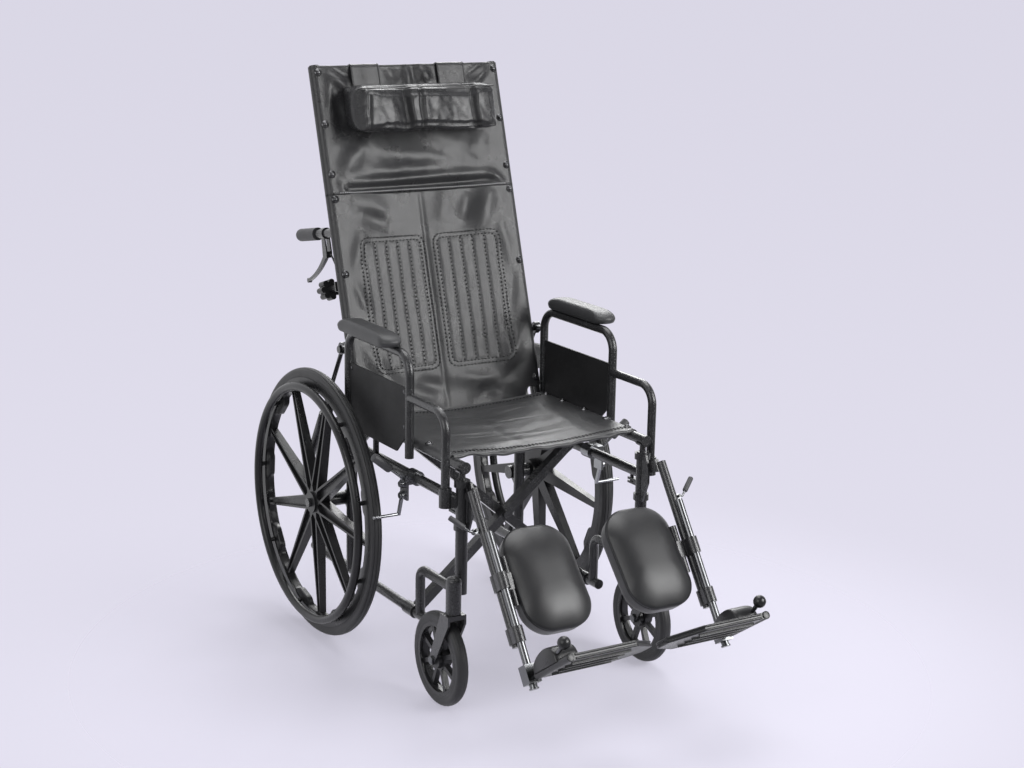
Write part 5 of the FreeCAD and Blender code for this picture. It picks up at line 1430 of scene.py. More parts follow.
@dataclass
class HeadPillow:
    """The stuffed head pillow in front of the headrest and its two straps over the top.

    Attributes:
        finishes: the chair's finishes.
        half_width: half its length across the chair.
        low: its lower edge up the canes.
        high: its upper edge.
        rear: its back face in front of the canes.
        depth: its thickness.
        corner: radius of its corners seen from the front.
        droop: how much lower its front hangs than its back.
        ripple: height of the small waves on its front.
        seed: number that fixes the waves.
        strap_middle: X of the left strap's middle.
        strap_width: a strap's width.
        strap_wall: its thickness.
        strap_reach: how far it goes behind the canes' line.
        over_top: its height up the canes where it goes over the headrest.
        folds: its front's section across the chair, as X and distance from the flat front.
    """

    finishes: Finishes
    half_width: float = 0.183
    low: float = 0.6565
    high: float = 0.7605
    rear: float = 0.0146
    depth: float = 0.086
    corner: float = 0.009
    droop: float = 0.022
    ripple: float = 0.0012
    seed: int = 31
    strap_middle: float = 0.110
    strap_width: float = 0.070
    strap_wall: float = 0.0018
    strap_reach: float = 0.0114
    over_top: float = 0.8075
    folds: tuple[tuple[float, float], ...] = (
        (-0.183, -0.020), (-0.167, -0.004), (-0.161, 0.004), (-0.154, -0.003), (-0.147, 0.001),
        (-0.095, -0.005), (-0.084, -0.009), (-0.052, -0.021), (-0.048, -0.010), (-0.044, 0.002),
        (-0.025, 0.0), (-0.020, -0.011), (-0.014, 0.002), (0.002, -0.001), (0.018, -0.003), (0.062, -0.016),
        (0.116, -0.0205), (0.121, -0.024), (0.127, -0.005), (0.179, -0.014), (0.183, -0.018),
    )

    @property
    def middle(self) -> float:
        """The pillow's middle up the canes."""
        return (self.low + self.high) / 2.0

    def build(self) -> None:
        """Makes the pillow and its straps, and hangs them on the back."""
        pillow = self.body()
        self.finishes.dress(pillow, Finishes.gloss_vinyl)
        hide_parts("head_pillow")
        welts = self.welts()
        straps = []
        edges = []
        for number, middle in ((1, -self.strap_middle), (2, self.strap_middle)):
            straps.append(self.strap(number, middle))
            edges += self.strap_edges(number, middle)
        for piece in (pillow, welts, *straps, *edges):
            crumple(piece)
        LOG.info("head pillow")

    def body(self) -> Piece:
        """The stuffed form: a round-cornered box that swells, then takes upright gathers over its front."""
        inset = 0.004
        half_height = (self.high - self.low) / 2.0 - inset
        outline = rounded_rectangle(self.half_width - inset, half_height, self.corner, 160)
        levels = np.array([0.0, 0.0, 0.04, 0.2, 0.5, 0.85, 0.97, 1.0, 1.0])
        heights = levels * (self.depth - 2 * inset) + self.rear + inset
        shrink = np.array([0.0, 0.94, 0.98, 1.0, 1.0, 1.0, 0.99, 0.965, 0.0])
        x = outline[None, :, 0] * shrink[:, None]
        along = self.middle + outline[None, :, 1] * shrink[:, None]
        piece = closed_form("pillow", BACK_LINE.point(x, along, heights[:, None] + 0 * x))
        inflated(piece, voxel=0.0036, pressure=3.0, cap=inset)
        self.gather(piece)
        return piece

    def fold(self, x: Array) -> Array:
        """The front's distance from flat at X: straight runs between the section's points, rounded off.

        Args:
            x: X.

        Returns:
            The distance, below zero where the front lies further back.
        """
        places, heights = np.array(self.folds).T
        fine = np.linspace(-self.half_width, self.half_width, 367)
        bell = np.exp(-np.linspace(-2.0, 2.0, 15) ** 2)
        runs = np.pad(np.interp(fine, places, heights), 7, mode="edge")
        return np.interp(x, fine, np.convolve(runs, bell / bell.sum(), mode="valid"))

    def gather(self, piece: Piece) -> None:
        """Presses upright folds and small waves into the front, and lets it hang.

        The folds begin at a share of the depth and are full at the front. They lean from the lower edge to
        the upper one, waver a little, and are half as deep at both edges.

        Args:
            piece: the stuffed form.
        """
        points = mesh_points(piece)
        foot = np.array([0.0, BACK_LINE.y, BACK_LINE.z])
        along = (points - foot) @ BACK_LINE.up
        front = (points - foot) @ BACK_LINE.front
        begin, slant, waver, edge_zone = 0.3, 0.003, 0.0025, 0.35
        share = np.clip((front - self.rear - begin * self.depth) / ((1.0 - begin) * self.depth), 0.0, 1.0)
        height = np.clip((along - self.low) / (self.high - self.low), 0.0, 1.0)
        lean = slant * (0.5 - height) + waver * np.sin(5.0 * height + 40.0 * points[:, 0])
        open_part = 0.5 + 0.5 * np.clip(4.0 * height * (1.0 - height) / edge_zone, 0.0, 1.0)
        waves = ripples(points[:, 0], along, self.seed, self.ripple, shortest=0.016, longest=0.07)
        points += ((self.fold(points[:, 0] + lean) * open_part + waves) * share)[:, None] * BACK_LINE.front
        points -= (self.droop * np.clip((front - self.rear) / self.depth, 0.0, 1.0))[:, None] * BACK_LINE.up
        set_mesh_points(piece, points)

    def welts(self) -> Piece:
        """The piped seam along the top of the pillow's front."""
        end = self.half_width - 0.010
        forward = 0.95
        x = np.linspace(-end, end, 120)
        along = np.full_like(x, self.high - 0.0052 - forward * self.droop)
        path = BACK_LINE.point(x, along, self.rear + self.depth * forward + 0.5 * self.fold(x))
        piece = swept("pillow_welt", path, 0.0015, 8)
        return self.finishes.dress(piece, Finishes.vinyl)

    def strap_line(self) -> tuple[Array, Array]:
        """A strap's line from the pillow's back up and over the headrest, as distances along and in front."""
        bend = 0.0045
        up_rows, over_rows = 30, 12
        turn = np.linspace(0.0, np.pi / 2.0, 9)
        front = self.rear + 0.0012
        shoulder = self.over_top - bend
        along = np.concatenate([np.linspace(self.middle, shoulder, up_rows),
                                shoulder + bend * np.sin(turn), np.full(over_rows, self.over_top)])
        out = np.concatenate([np.full(up_rows, front), front - bend + bend * np.cos(turn),
                              np.linspace(front - bend, -self.strap_reach, over_rows)])
        return along, out

    def strap_edges(self, number: int, middle: float) -> list[Piece]:
        """The bound edges of a strap, as thin rolls down its two sides.

        Args:
            number: the strap's number.
            middle: X of its middle.

        Returns:
            The two rolls.
        """
        along, out = self.strap_line()
        rolls = []
        for side in SIDES:
            x = np.full_like(along, middle + side.sign * (self.strap_width / 2.0 - 0.001))
            path = BACK_LINE.point(x, along, out)
            roll = swept(f"pillow_strap_{number}_edge_{side.name}", path, 0.0017, 8)
            rolls.append(self.finishes.dress(roll, Finishes.vinyl))
        return rolls

    def strap(self, number: int, middle: float) -> Piece:
        """A flat strap from the pillow's back up over the top of the headrest.

        Args:
            number: the strap's number.
            middle: X of its middle.

        Returns:
            The strap.
        """
        along, out = self.strap_line()
        across = np.linspace(-0.5, 0.5, 16) * self.strap_width
        wave = 0.0006 * np.sin(across / self.strap_width * 9.0 + number)
        points = BACK_LINE.point(middle + across[None, :], along[:, None], out[:, None] + wave[None, :])
        piece = surface(f"pillow_strap_{number}", points)
        wall = piece.modifiers.new("thickness", "SOLIDIFY")
        wall.thickness = self.strap_wall
        wall.offset = 0.0
        return self.finishes.dress(piece, Finishes.vinyl)


@dataclass
class Pads:
    """The arm pads and the calf pads: moulded skins over foam on a flat base.

    Attributes:
        finishes: the chair's finishes.
        arm_centre: the middle of the left arm pad's base.
        arm_half_width: half its width.
        arm_half_length: half its length.
        arm_height: its height.
        calf_x: X of the left calf pad's middle.
        calf_along: that middle's place along the leg rest.
        calf_lean: the pad's lean from the leg rest, in degrees.
        calf_half_width: half its width.
        calf_half_length: half its length.
        calf_corner: radius of its corners.
        calf_back: its back face in front of the leg rest's line.
        calf_rim: its rim, where wall and face are sewn.
        calf_crown: the highest point of its face.
    """

    finishes: Finishes
    arm_centre: tuple[float, float, float] = (0.269, AXLE_Y - 0.207, 0.7218)
    arm_half_width: float = 0.026
    arm_half_length: float = 0.117
    arm_height: float = 0.030
    calf_x: float = 0.124
    calf_along: float = 0.212
    calf_lean: float = 8.0
    calf_half_width: float = 0.078
    calf_half_length: float = 0.114
    calf_corner: float = 0.058
    calf_back: float = -0.036
    calf_rim: float = -0.004
    calf_crown: float = 0.022

    def build(self) -> None:
        """Makes both pairs and seats them."""
        for side in SIDES:
            self.add_arm(side)
            self.add_calf(side)
        LOG.info("arm pads and calf pads")

    @staticmethod
    def skin(name: str, centre: Array, u: Array, v: Array, normal: Array,
             outline: Array, levels: Array) -> Piece:
        """A pad's skin: its outline at each level, shrunk towards the middle by the level's share.

        Args:
            name: the piece's name.
            centre: the middle of the pad's base.
            u: direction across.
            v: direction along.
            normal: direction out of the face.
            outline: the widest outline, as distances across and along.
            levels: rows of share of the outline and height.

        Returns:
            The new object.
        """
        share = levels[:, 0][:, None, None]
        flat = outline[None, :, :1] * share * u + outline[None, :, 1:] * share * v
        points = centre + flat + levels[:, 1][:, None, None] * normal
        return closed_form(name, points)

    def add_arm(self, side: Side) -> None:
        """One arm pad: a flat base with a rolled edge, soft sides and a crowned top.

        Args:
            side: the side.
        """
        height = self.arm_height
        crown = np.linspace(0.0, np.pi / 2.0, 14)
        low = np.array([[0.0, 0.0], [0.86, 0.0], [0.93, 0.0006], [0.965, 0.0024], [0.985, 0.006]])
        rise = 0.010 + (height - 0.0115) * np.sin(crown)
        top = np.stack([0.30 + 0.70 * np.cos(crown) ** 0.62, rise], axis=-1)
        cap = np.array([[0.22, height - 0.0008], [0.12, height - 0.0003], [0.0, height]])
        corner = self.arm_half_width - 0.002
        outline = rounded_rectangle(self.arm_half_width, self.arm_half_length, corner, 200)
        centre = np.array(self.arm_centre) * side.mirror
        piece = self.skin(f"arm_pad_skin_{side.name}", centre, SIDE, BACK, UP, outline,
                          np.concatenate([low, top, cap]))
        # The arm pads wear the lighter skin, a painted sheen.
        self.finishes.dress(piece, Finishes.arm_skin)
        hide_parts(f"arm_pad_{side.name}")
        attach(piece, f"arm_{side.name}")

    def add_calf(self, side: Side) -> None:
        """One calf pad: a flat back, an upright wall with a drawn seam at its rim, and a rounded face.

        The face rises from the rim to the crown as 1 - share^3.4, with share the part of the outline.

        Args:
            side: the side.
        """
        line = LeaningLine(LEG_LINE.y, LEG_LINE.z, LEG_LINE.angle + self.calf_lean)
        centre = LEG_LINE.point(np.array(side.sign * self.calf_x), np.array(self.calf_along), np.array(0.0))
        outline = rounded_rectangle(self.calf_half_width, self.calf_half_length, self.calf_corner, 220)
        back, rim, crown = self.calf_back, self.calf_rim, self.calf_crown
        share = np.linspace(0.992, 0.0, 26)
        face = np.stack([share, rim + 0.0015 + (crown - rim - 0.0015) * (1.0 - share ** 3.4)], axis=-1)
        wall = np.array([[0.0, back], [0.90, back], [0.945, back + 0.0012], [0.965, back + 0.004],
                         [0.975, back + 0.012], [0.985, rim - 0.009], [0.990, rim - 0.004],
                         [0.988, rim - 0.002], [0.976, rim - 0.0006], [0.976, rim], [0.990, rim + 0.0008]])
        piece = self.skin(f"calf_pad_skin_{side.name}", centre, SIDE, line.up, line.front, outline,
                          np.concatenate([wall, face]))
        self.finishes.dress(piece, Finishes.skin)
        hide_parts(f"calf_pad_{side.name}")
        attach(piece, f"calf_{side.name}")


@dataclass
class Tyres:
    """The solid tyres, with grooves round their treads.

    Attributes:
        finishes: the chair's finishes.
        wheel_depth: height of a rear tyre's section.
        wheel_width: its width.
        wheel_groove: depth of its grooves.
        caster_depth: height of a caster tyre's section.
        caster_width: its width.
        caster_groove: depth of its grooves.
    """

    finishes: Finishes
    wheel_depth: float = 0.021
    wheel_width: float = 0.025
    wheel_groove: float = 0.0016
    caster_depth: float = 0.022
    caster_width: float = 0.026
    caster_groove: float = 0.0006

    def build(self) -> None:
        """Makes the four tyres."""
        for side in SIDES:
            rear = self.ring(f"rear_tyre_rubber_{side.name}", WHEEL * side.mirror,
                             self.wheel_depth, self.wheel_width, self.wheel_groove, 240)
            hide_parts(f"rear_tyre_{side.name}")
            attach(rear, f"wheel_{side.name}")
            front = self.ring(f"caster_tyre_rubber_{side.name}", CASTER * side.mirror,
                              self.caster_depth, self.caster_width, self.caster_groove, 160)
            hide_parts(f"caster_tyre_{side.name}")
            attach(front, f"caster_{side.name}")
        LOG.info("tyres")

    def ring(self, name: str, centre: Array, depth: float, width: float, groove: float,
             steps: int) -> Piece:
        """One tyre: a section with a crowned, grooved tread, spun round the axle.

        With t from -1 to 1 across the tread, its radius is the outer radius less a crown of
        0.45 * depth * (1 - sqrt(1 - 0.999 t^2)) and, where |t| < 0.8, less a groove of
        groove * max(0, cos(3.5 pi t))^6. The tyre stands on the floor.

        Args:
            name: the piece's name.
            centre: middle of the axle, as high as the outer radius.
            depth: height of the section.
            width: width of the section.
            groove: depth of the grooves.
            steps: points round the tyre.

        Returns:
            The tyre.
        """
        radius = float(centre[2])
        across = np.linspace(-1.0, 1.0, 61)
        crown = depth * 0.45 * (1.0 - np.sqrt(1.0 - 0.999 * across ** 2))
        lines = groove * np.maximum(0.0, np.cos(3.5 * np.pi * across)) ** 6 * (np.abs(across) < 0.8)
        tread = np.stack([across * width / 2.0, radius - crown - lines], axis=-1)
        low = radius - depth
        flank = np.array([[width / 2.0, radius - depth * 0.6], [width / 2.0 - 0.0006, radius - depth * 0.72],
                          [width / 2.0, radius - depth * 0.84], [width / 2.0 - 0.0012, low]])
        section = np.concatenate([tread, flank, flank[::-1] * np.array([-1.0, 1.0]), tread[:1]])
        piece = turned(name, section, centre, SIDE, steps=steps, sharp=50.0)
        return self.finishes.dress(piece, Finishes.rubber)


def capped(length: float, radius: float, bevel: float) -> Array:
    """A bar's profile for spinning: distance along and radius, with bevelled ends that close on the axis."""
    return np.array([[0.0, 0.0], [0.0, radius - bevel], [0.3 * bevel, radius - 0.3 * bevel], [bevel, radius],
                     [length - bevel, radius], [length - 0.3 * bevel, radius - 0.3 * bevel],
                     [length, radius - bevel], [length, 0.0]])


def box_step(angle: Array, centre: float, spacing: float, half: float, soft: float) -> Array:
    """A rounded step, 1 near every multiple of a spacing from a centre and 0 between.

    Its height is 1 / (1 + e^((d - half) / soft)), with d the way to the nearest step's middle.

    Args:
        angle: where it is wanted, in degrees.
        centre: the first step's middle.
        spacing: from one middle to the next.
        half: half a step's width.
        soft: width of its flanks.

    Returns:
        The step's height at each angle.
    """
    distance = np.abs((angle - centre + spacing / 2.0) % spacing - spacing / 2.0)
    return 1.0 / (1.0 + np.exp((distance - half) / soft))


@dataclass
class Fittings:
    """Small fittings on the frame: lever grips, rim webs, nuts, panel screws and the footplates' details.

    Attributes:
        finishes: the chair's finishes.
        lock_root: the middle of the left wheel lock's lever eye.
        lock_reach: from there to the middle of its grip.
        lock_rise: how far the lever stands up before it leans out.
        lock_grip_half: half the length of the lock's grip.
        lock_grip_radius: its radius.
        lift_root: the elevation lever's bend, as X and distances along and in front of the leg rest.
        lift_reach: from the bend to the lever's end, both out and up.
        lift_grip: length of that lever's grip.
        lift_grip_radius: its radius.
        spoke_first: angle of the first spoke from upright towards the front, in degrees.
        spokes: number of spokes.
        web_radius: radius of the web's outer edge.
        web_edge: how far the web's inner edge is rolled in.
        boss_rise: how far a boss stands in at a standoff.
        flare_rise: how far the web flares in at a spoke.
        fork_half: from a caster's middle to its fork's outer face.
        nut_radius: radius of the nuts on its axle.
        guard_x: X of the left skirt panel's outer face.
        foot_x: X of the left footplate's hinge.
        foot_inner_x: X of its inner end.
        foot_tip: length of its tapered end.
        foot_taper: how far the taper cuts into its front and rear.
        foot_low: its underside, along the leg rest.
        foot_top: its upper face.
        foot_rear: its rear edge in front of the leg rest.
        foot_front: its front edge.
        slide_low: lower end of a slide tube's plating, along the leg rest.
        slide_high: its upper end.
        slide_front: the slide tube's middle in front of the leg rest.
        slide_radius: radius of the plating.
    """

    finishes: Finishes
    lock_root: tuple[float, float, float] = (0.2523, AXLE_Y - 0.330, 0.429)
    lock_reach: tuple[float, float, float] = (0.048, 0.0, 0.052)
    lock_rise: float = 0.013
    lock_grip_half: float = 0.026
    lock_grip_radius: float = 0.0095
    lift_root: tuple[float, float, float] = (0.259, 0.330, -0.011)
    lift_reach: float = 0.034
    lift_grip: float = 0.0375
    lift_grip_radius: float = 0.0056
    spoke_first: float = 15.0
    spokes: int = 9
    web_radius: float = 0.2646
    web_edge: float = 0.0016
    boss_rise: float = 0.017
    flare_rise: float = 0.007
    fork_half: float = 0.0215
    nut_radius: float = 0.0096
    guard_x: float = 0.255
    foot_x: float = 0.231
    foot_inner_x: float = 0.021
    foot_tip: float = 0.060
    foot_taper: float = 0.046
    foot_low: float = 0.012
    foot_top: float = 0.024
    foot_rear: float = 0.038
    foot_front: float = 0.172
    slide_low: float = 0.002
    slide_high: float = 0.3185
    slide_front: float = 0.0105
    slide_radius: float = 0.00808

    def build(self) -> None:
        """Makes the fittings of both sides."""
        for side in SIDES:
            self.add_lock_grip(side)
            self.add_lift_grip(side)
            self.add_rim_web(side)
            self.add_nuts(side)
            self.add_guard_screws(side)
            self.add_foot_details(side)
            self.add_slide_plating(side)
        LOG.info("grips, rim webs, nuts and footplate details")

    def seat(self, piece: Piece, finish: Finish, body: str) -> None:
        """Dresses a fitting and lets it ride on a body."""
        self.finishes.dress(piece, finish)
        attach(piece, body)

    def add_slide_plating(self, side: Side) -> None:
        """The bright plating round a leg rest's slide tube, closed and rounded at its upper end.

        Args:
            side: the side.
        """
        length = self.slide_high - self.slide_low
        round_off = 0.0012
        section = np.array([[0.0, self.slide_radius], [length - round_off, self.slide_radius],
                            [length, self.slide_radius - round_off], [length, 0.0]])
        start = LEG_LINE.point(side.sign * self.foot_x, self.slide_low, self.slide_front)
        piece = turned(f"slide_plating_{side.name}", section, start, LEG_LINE.up, steps=40)
        self.seat(piece, Finishes.chrome, f"slide_{side.name}")

    def add_lock_grip(self, side: Side) -> None:
        """The black grip on a wheel lock's lever.

        Args:
            side: the side.
        """
        root = np.array(self.lock_root)
        end = root + np.array(self.lock_reach)
        outward = unit(end - root - UP * self.lock_rise)
        start = (end - outward * self.lock_grip_half) * side.mirror
        profile = capped(2.0 * self.lock_grip_half, self.lock_grip_radius, 0.004)
        piece = turned(f"lock_grip_{side.name}", profile, start, outward * side.mirror, steps=24)
        self.seat(piece, Finishes.grip, f"brake_lever_{side.name}")

    def add_lift_grip(self, side: Side) -> None:
        """The black grip on a leg rest's elevation lever.

        Args:
            side: the side.
        """
        corner = LEG_LINE.point(*np.array(self.lift_root))
        outward = unit(SIDE + LEG_LINE.up)
        end = corner + (SIDE + LEG_LINE.up) * self.lift_reach
        start = (end - outward * (self.lift_grip - 0.003)) * side.mirror
        profile = capped(self.lift_grip, self.lift_grip_radius, 0.002)
        piece = turned(f"lift_grip_{side.name}", profile, start, outward * side.mirror, steps=20)
        self.seat(piece, Finishes.grip, f"height_lever_{side.name}")

    def add_rim_web(self, side: Side) -> None:
        """The web inside a wheel's rim, with a boss at each standoff and a flare at each spoke.

        Its inner radius is web_radius - web_edge - boss_rise * boss - flare_rise * flare, with boss and
        flare rounded steps of the angle.

        Args:
            side: the side.
        """
        angle = np.linspace(0.0, 360.0, 541)
        spacing = 360.0 / self.spokes
        boss = box_step(angle, self.spoke_first + spacing / 2.0, spacing, 6.5, 0.8)
        flare = box_step(angle, self.spoke_first, spacing, 3.2, 1.0)
        drop = self.boss_rise * boss + self.flare_rise * flare + self.web_edge
        across = np.array([0.0095, 0.0070, 0.0050, -0.0050, -0.0070, -0.0095])
        share = np.array([0.0, 0.9, 1.0, 1.0, 0.9, 0.0])
        radius = self.web_radius - drop[:, None] * share[None, :]
        turn = np.radians(angle)[:, None]
        around = np.stack([across + 0 * radius, -radius * np.sin(turn), radius * np.cos(turn)], axis=-1)
        piece = closed_form(f"rim_web_{side.name}", (WHEEL + around) * side.mirror, sharp=35.0)
        self.seat(piece, Finishes.plastic, f"wheel_{side.name}")

    def add_nuts(self, side: Side) -> None:
        """Hexagon heads on the caster axle's ends.

        Args:
            side: the side.
        """
        profile = np.array([[0.0, 0.0], [0.0, self.nut_radius], [0.0042, self.nut_radius],
                            [0.0052, self.nut_radius - 0.0016], [0.0052, 0.0]])
        outward = np.array([[1.0, 0.0, 0.0], [-1.0, 0.0, 0.0]])
        places = CASTER + outward * (self.fork_half - 0.0003)
        piece = turned(f"caster_nuts_{side.name}", profile, places * side.mirror, outward * side.mirror,
                       steps=6, sharp=20.0)
        self.seat(piece, Finishes.chrome, f"fork_{side.name}")

    def add_guard_screws(self, side: Side) -> None:
        """Round-headed screws at the skirt panel's corners.

        Args:
            side: the side.
        """
        profile = np.array([[-0.001, 0.0], [-0.001, 0.0045], [0.0008, 0.0042], [0.0018, 0.0028],
                            [0.0022, 0.0]])
        spots = np.array([[-0.099, 0.632], [-0.343, 0.632], [-0.099, 0.506], [-0.343, 0.556]])
        places = np.stack([np.full(len(spots), self.guard_x), AXLE_Y + spots[:, 0], spots[:, 1]], axis=-1)
        outward = SIDE * side.mirror
        piece = turned(f"guard_screws_{side.name}", profile, places * side.mirror, outward, steps=16)
        self.seat(piece, Finishes.screw, f"arm_{side.name}")

    def foot_outline(self, inset: float) -> Array:
        """The footplate's tapered outline as X and distance in front of the leg, drawn in by an inset.

        Args:
            inset: how far it is drawn in.

        Returns:
            The outline's points.
        """
        tip = self.foot_inner_x + self.foot_tip
        outer = self.foot_x - 0.012
        return np.array([
            [outer, self.foot_rear + inset], [tip, self.foot_rear + inset],
            [self.foot_inner_x + inset, self.foot_rear + self.foot_taper],
            [self.foot_inner_x + inset, self.foot_front - self.foot_taper],
            [tip, self.foot_front - inset], [outer, self.foot_front - inset]])

    def add_foot_details(self, side: Side) -> None:
        """A footplate's edge beads, ridges, heel block and hinge plug, and the bright stem of its lift.

        Args:
            side: the side.
        """
        body = f"foot_{side.name}"
        in_from_face = 0.0022
        rim = along_path(self.foot_outline(0.0004), 0.004)
        for label, level in (("low", self.foot_low + in_from_face), ("top", self.foot_top - in_from_face)):
            path = LEG_LINE.point(side.sign * rim[:, 0], np.full(len(rim), level), rim[:, 1])
            self.seat(swept(f"foot_bead_{label}_{side.name}", path, 0.0026, 8), Finishes.plastic, body)
        ridges, margin = 6, 0.022
        ridge_rows = np.linspace(self.foot_rear + margin, self.foot_front - margin, ridges)
        inner, outer = self.foot_inner_x + self.foot_tip * 0.9, self.foot_x - 0.024
        starts = LEG_LINE.point(side.sign * inner, np.full(ridges, self.foot_top - 0.0006), ridge_rows)
        ridge = capped(outer - inner, 0.0021, 0.002)
        piece = turned(f"foot_ridges_{side.name}", ridge, starts, SIDE * side.sign, steps=10)
        self.seat(piece, Finishes.plastic, body)
        self.seat(self.heel_block(side), Finishes.plastic, body)
        hinge_end = LEG_LINE.point(side.sign * self.foot_x, self.foot_low + 0.006, self.foot_front - 0.001)
        cover = capped(0.0032, 0.0083, 0.001)
        plug = turned(f"foot_plug_{side.name}", cover, hinge_end, LEG_LINE.front, steps=20)
        self.seat(plug, Finishes.plastic, body)
        along = np.array([0.0265, 0.0440])
        stem = LEG_LINE.point(np.full(2, side.sign * self.foot_x), along, np.array([0.103, 0.154]))
        reach = stem[1] - stem[0]
        rod = capped(float(np.linalg.norm(reach)), 0.0046, 0.0006)
        self.seat(turned(f"lift_stem_{side.name}", rod, stem[0], reach, steps=16), Finishes.chrome, body)

    def heel_block(self, side: Side) -> Piece:
        """The rounded block over a footplate's hinge: a humped outline swept across, drawn in at its ends.

        Args:
            side: the side.

        Returns:
            The block.
        """
        count, middle_front, half_length, rise, sunk = 22, self.foot_rear + 0.050, 0.048, 0.031, 0.003
        turn = np.linspace(0.0, np.pi, count)
        hump_front = middle_front - half_length * np.cos(turn)
        hump_up = self.foot_top + rise * np.sin(turn) ** 0.8 * (1.0 + 0.25 * np.cos(np.pi - turn))
        outline_front = np.concatenate([hump_front, hump_front[::-1]])
        outline_up = np.concatenate([hump_up, np.full(count, self.foot_top - sunk)])
        across = np.array([0.0, 0.0, 0.0012, 0.0045, 0.012, 0.042, 0.0495, 0.0528, 0.054, 0.054])
        share = np.array([0.0, 0.90, 0.955, 0.985, 1.0, 1.0, 0.985, 0.955, 0.90, 0.0])
        front = middle_front + (outline_front - middle_front)[None, :] * share[:, None]
        up = self.foot_top + (outline_up - self.foot_top)[None, :] * share[:, None]
        x = side.sign * (self.foot_x - 0.044 + across)[:, None]
        return closed_form(f"heel_block_{side.name}", LEG_LINE.point(x, up, front), sharp=50.0)


class Frame:
    """The CAD pieces that stay, with their finishes."""

    pieces_of = {
        Finishes.paint: ("side_frame", "cross_bar", "arm_frame", "back_cane", "spreader_bar", "leg_hanger",
                         "leg_tube", "calf_bracket", "caster_fork", "gas_cylinder", "recline_lever"),
        Finishes.plastic: ("rear_wheel", "caster_wheel", "handrim", "star_knob", "footplate",
                           "recline_cable"),
        Finishes.panel: ("skirt_guard",),
        Finishes.grip: ("hand_grip",),
        Finishes.screw: ("gas_rod",),
        Finishes.chrome: ("leg_slide", "elevation_lever"),
        Finishes.steel: ("lock_clamp", "lock_lever", "lock_shoe"),
    }

    def __init__(self, finishes: Finishes) -> None:
        """Keeps the chair's finishes."""
        self.finishes = finishes

    def dress(self) -> None:
        """Gives each CAD piece that stays its finish."""
        dressed = 0
        for name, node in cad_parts.items():
            for finish, starts in self.pieces_of.items():
                if name.startswith(starts):
                    self.finishes.dress(node, finish)
                    dressed += 1
        LOG.info("%d CAD pieces dressed", dressed)


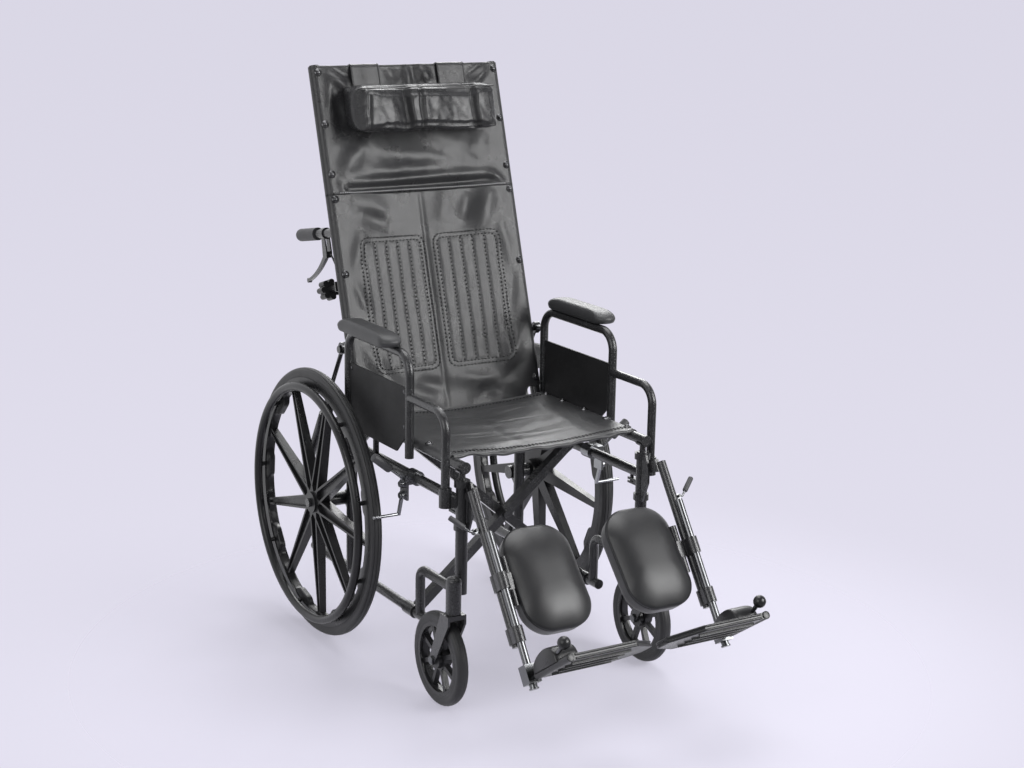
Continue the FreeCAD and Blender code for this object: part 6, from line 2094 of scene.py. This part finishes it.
@dataclass
class Studio:
    """The floor, the light and the camera.

    Attributes:
        azimuth: the camera's angle round the chair from its front, in degrees.
        elevation: the camera's angle above the floor.
        roll: the camera's tilt about its own line of sight.
        distance: from the camera to its target.
        focal: focal length in pixels of the 1024-pixel-wide picture.
        fade_start: where the floor begins to fade, from the chair's middle.
        fade_end: where it has faded.
        world_light: strength of the even light from all round.
        floor_cover: how much of the backdrop the floor covers near the chair.
        width: the picture's width in pixels.
        target: the point that the camera looks at.
        sky: colour of the even light and of the sweep that reflections see.
    """

    azimuth: float = -31.36
    elevation: float = 13.71
    roll: float = -1.09
    distance: float = 4.1544
    focal: float = 1839.24
    width: float = 1024.0
    target: tuple[float, float, float] = (0.10761, AXLE_Y - 0.17732, 0.57273)
    fade_start: float = 0.55
    fade_end: float = 1.45
    world_light: float = 0.5
    floor_cover: float = 0.55
    sky: tuple[float, float, float, float] = (0.97, 0.97, 1.0, 1.0)

    def build(self) -> None:
        """Makes the floor, the lamps, the world and the camera."""
        self.add_floor()
        self.add_lamps()
        self.add_world()
        self.add_camera()
        bpy.context.scene.view_settings.view_transform = "Standard"
        LOG.info("studio")

    def add_floor(self) -> None:
        """A wide pale floor that keeps the chair's shadow and fades into the backdrop all round it."""
        reach = np.linspace(-14.0, 14.0, 3)
        grid = np.stack(np.meshgrid(reach, reach, [0.0], indexing="ij"), axis=-1)[:, :, 0]
        floor = surface("studio_floor", grid)
        floor.data.flip_normals()
        made = bpy.data.materials.new("studio floor")
        made.use_nodes = True
        tree = made.node_tree
        shader = tree.nodes["Principled BSDF"]
        shader.inputs["Base Color"].default_value = (*Shade.FLOOR.value, 1.0)
        fill(shader, Roughness=0.9, Specular_IOR_Level=0.1)
        away = tree.nodes.new("ShaderNodeVectorMath")
        away.operation = "LENGTH"
        tree.links.new(tree.nodes.new("ShaderNodeTexCoord").outputs["Object"], away.inputs[0])
        fade = ramp(tree, away.outputs["Value"], self.fade_start, self.fade_end, self.floor_cover, 0.0)
        tree.links.new(fade, shader.inputs["Alpha"])
        floor.data.materials.append(made)

    def add_lamps(self) -> None:
        """A soft key in front on the chair's left, a fill on its right, one above and one behind."""
        for name, place, aim, size, power in (
            ("key", (2.15, -3.0, 2.25), (0.0, 0.15, 0.8), 2.2, 140.0),
            ("fill", (-3.0, -1.4, 1.9), (0.0, 0.0, 0.6), 2.0, 34.0),
            ("top", (0.3, 0.7, 3.6), (0.0, 0.1, 0.6), 2.2, 50.0),
            ("rim", (2.4, 3.5, 2.9), (0.1, 0.0, 0.6), 2.0, 80.0),
        ):
            lamp = bpy.data.lights.new(name, "AREA")
            lamp.size = size
            lamp.energy = power
            holder = bpy.data.objects.new(name, lamp)
            turn = (Vector(aim) - Vector(place)).to_track_quat("-Z", "Y")
            holder.matrix_world = Matrix.Translation(place) @ turn.to_matrix().to_4x4()
            bpy.context.scene.collection.objects.link(holder)

    def add_world(self) -> None:
        """An even world light, a pale backdrop behind the chair and a pale sweep for reflections.

        The camera sees the backdrop's colour, a little darker towards its top. Reflections see a neutral
        sweep that is bright behind the chair and dim in front of it.
        """
        world = bpy.data.worlds.new("studio")
        world.use_nodes = True
        tree = world.node_tree
        light = tree.nodes["Background"]
        light.inputs["Color"].default_value = self.sky
        light.inputs["Strength"].default_value = self.world_light
        heading = tree.nodes.new("ShaderNodeSeparateXYZ")
        tree.links.new(tree.nodes.new("ShaderNodeTexCoord").outputs["Generated"], heading.inputs[0])
        seen = tree.nodes.new("ShaderNodeBackground")
        seen.inputs["Color"].default_value = (*Shade.BACKDROP.value, 1.0)
        tree.links.new(ramp(tree, heading.outputs["Z"], -0.45, 0.0, 1.03, 0.94), seen.inputs["Strength"])
        sweep = tree.nodes.new("ShaderNodeBackground")
        sweep.inputs["Color"].default_value = self.sky
        tree.links.new(ramp(tree, heading.outputs["Y"], -0.1, 0.5, 0.20, 0.90), sweep.inputs["Strength"])
        rays = tree.nodes.new("ShaderNodeLightPath")
        either = worked(tree, "MAXIMUM", rays.outputs["Is Camera Ray"], rays.outputs["Is Transmission Ray"])
        shown = light.outputs["Background"]
        for choice, shader in ((rays.outputs["Is Glossy Ray"], sweep), (either, seen)):
            mix = tree.nodes.new("ShaderNodeMixShader")
            tree.links.new(choice, mix.inputs["Fac"])
            tree.links.new(shown, mix.inputs[1])
            tree.links.new(shader.outputs["Background"], mix.inputs[2])
            shown = mix.outputs["Shader"]
        tree.links.new(shown, tree.nodes["World Output"].inputs["Surface"])
        bpy.context.scene.world = world

    def add_camera(self) -> None:
        """The camera at the photograph's angle, with its small roll."""
        turn, rise, roll = (math.radians(value) for value in (self.azimuth, self.elevation, self.roll))
        back = Vector((math.sin(turn) * math.cos(rise), -math.cos(turn) * math.cos(rise), math.sin(rise)))
        right = Vector((math.cos(turn), math.sin(turn), 0.0))
        up = back.cross(right)
        rolled_right = right * math.cos(roll) - up * math.sin(roll)
        rolled_up = right * math.sin(roll) + up * math.cos(roll)
        lens = bpy.data.cameras.new("camera")
        lens.sensor_fit = "HORIZONTAL"
        lens.sensor_width = 36.0
        lens.lens = self.focal * lens.sensor_width / self.width
        lens.clip_end = 100.0
        camera = bpy.data.objects.new("camera", lens)
        turned_axes = Matrix((rolled_right, rolled_up, back)).transposed().to_4x4()
        camera.matrix_world = Matrix.Translation(Vector(self.target) + back * self.distance) @ turned_axes
        bpy.context.scene.collection.objects.link(camera)
        bpy.context.scene.camera = camera


def main() -> None:
    """Builds the chair's looks in order: studio, frame, upholstery, pillow, pads, tyres and fittings."""
    logging.basicConfig(level=logging.INFO, format="%(name)s: %(message)s")
    Studio().build()
    finishes = Finishes()
    Frame(finishes).dress()
    Upholstery(finishes).build()
    HeadPillow(finishes).build()
    Pads(finishes).build()
    Tyres(finishes).build()
    Fittings(finishes).build()


if __name__ == "__main__":
    main()
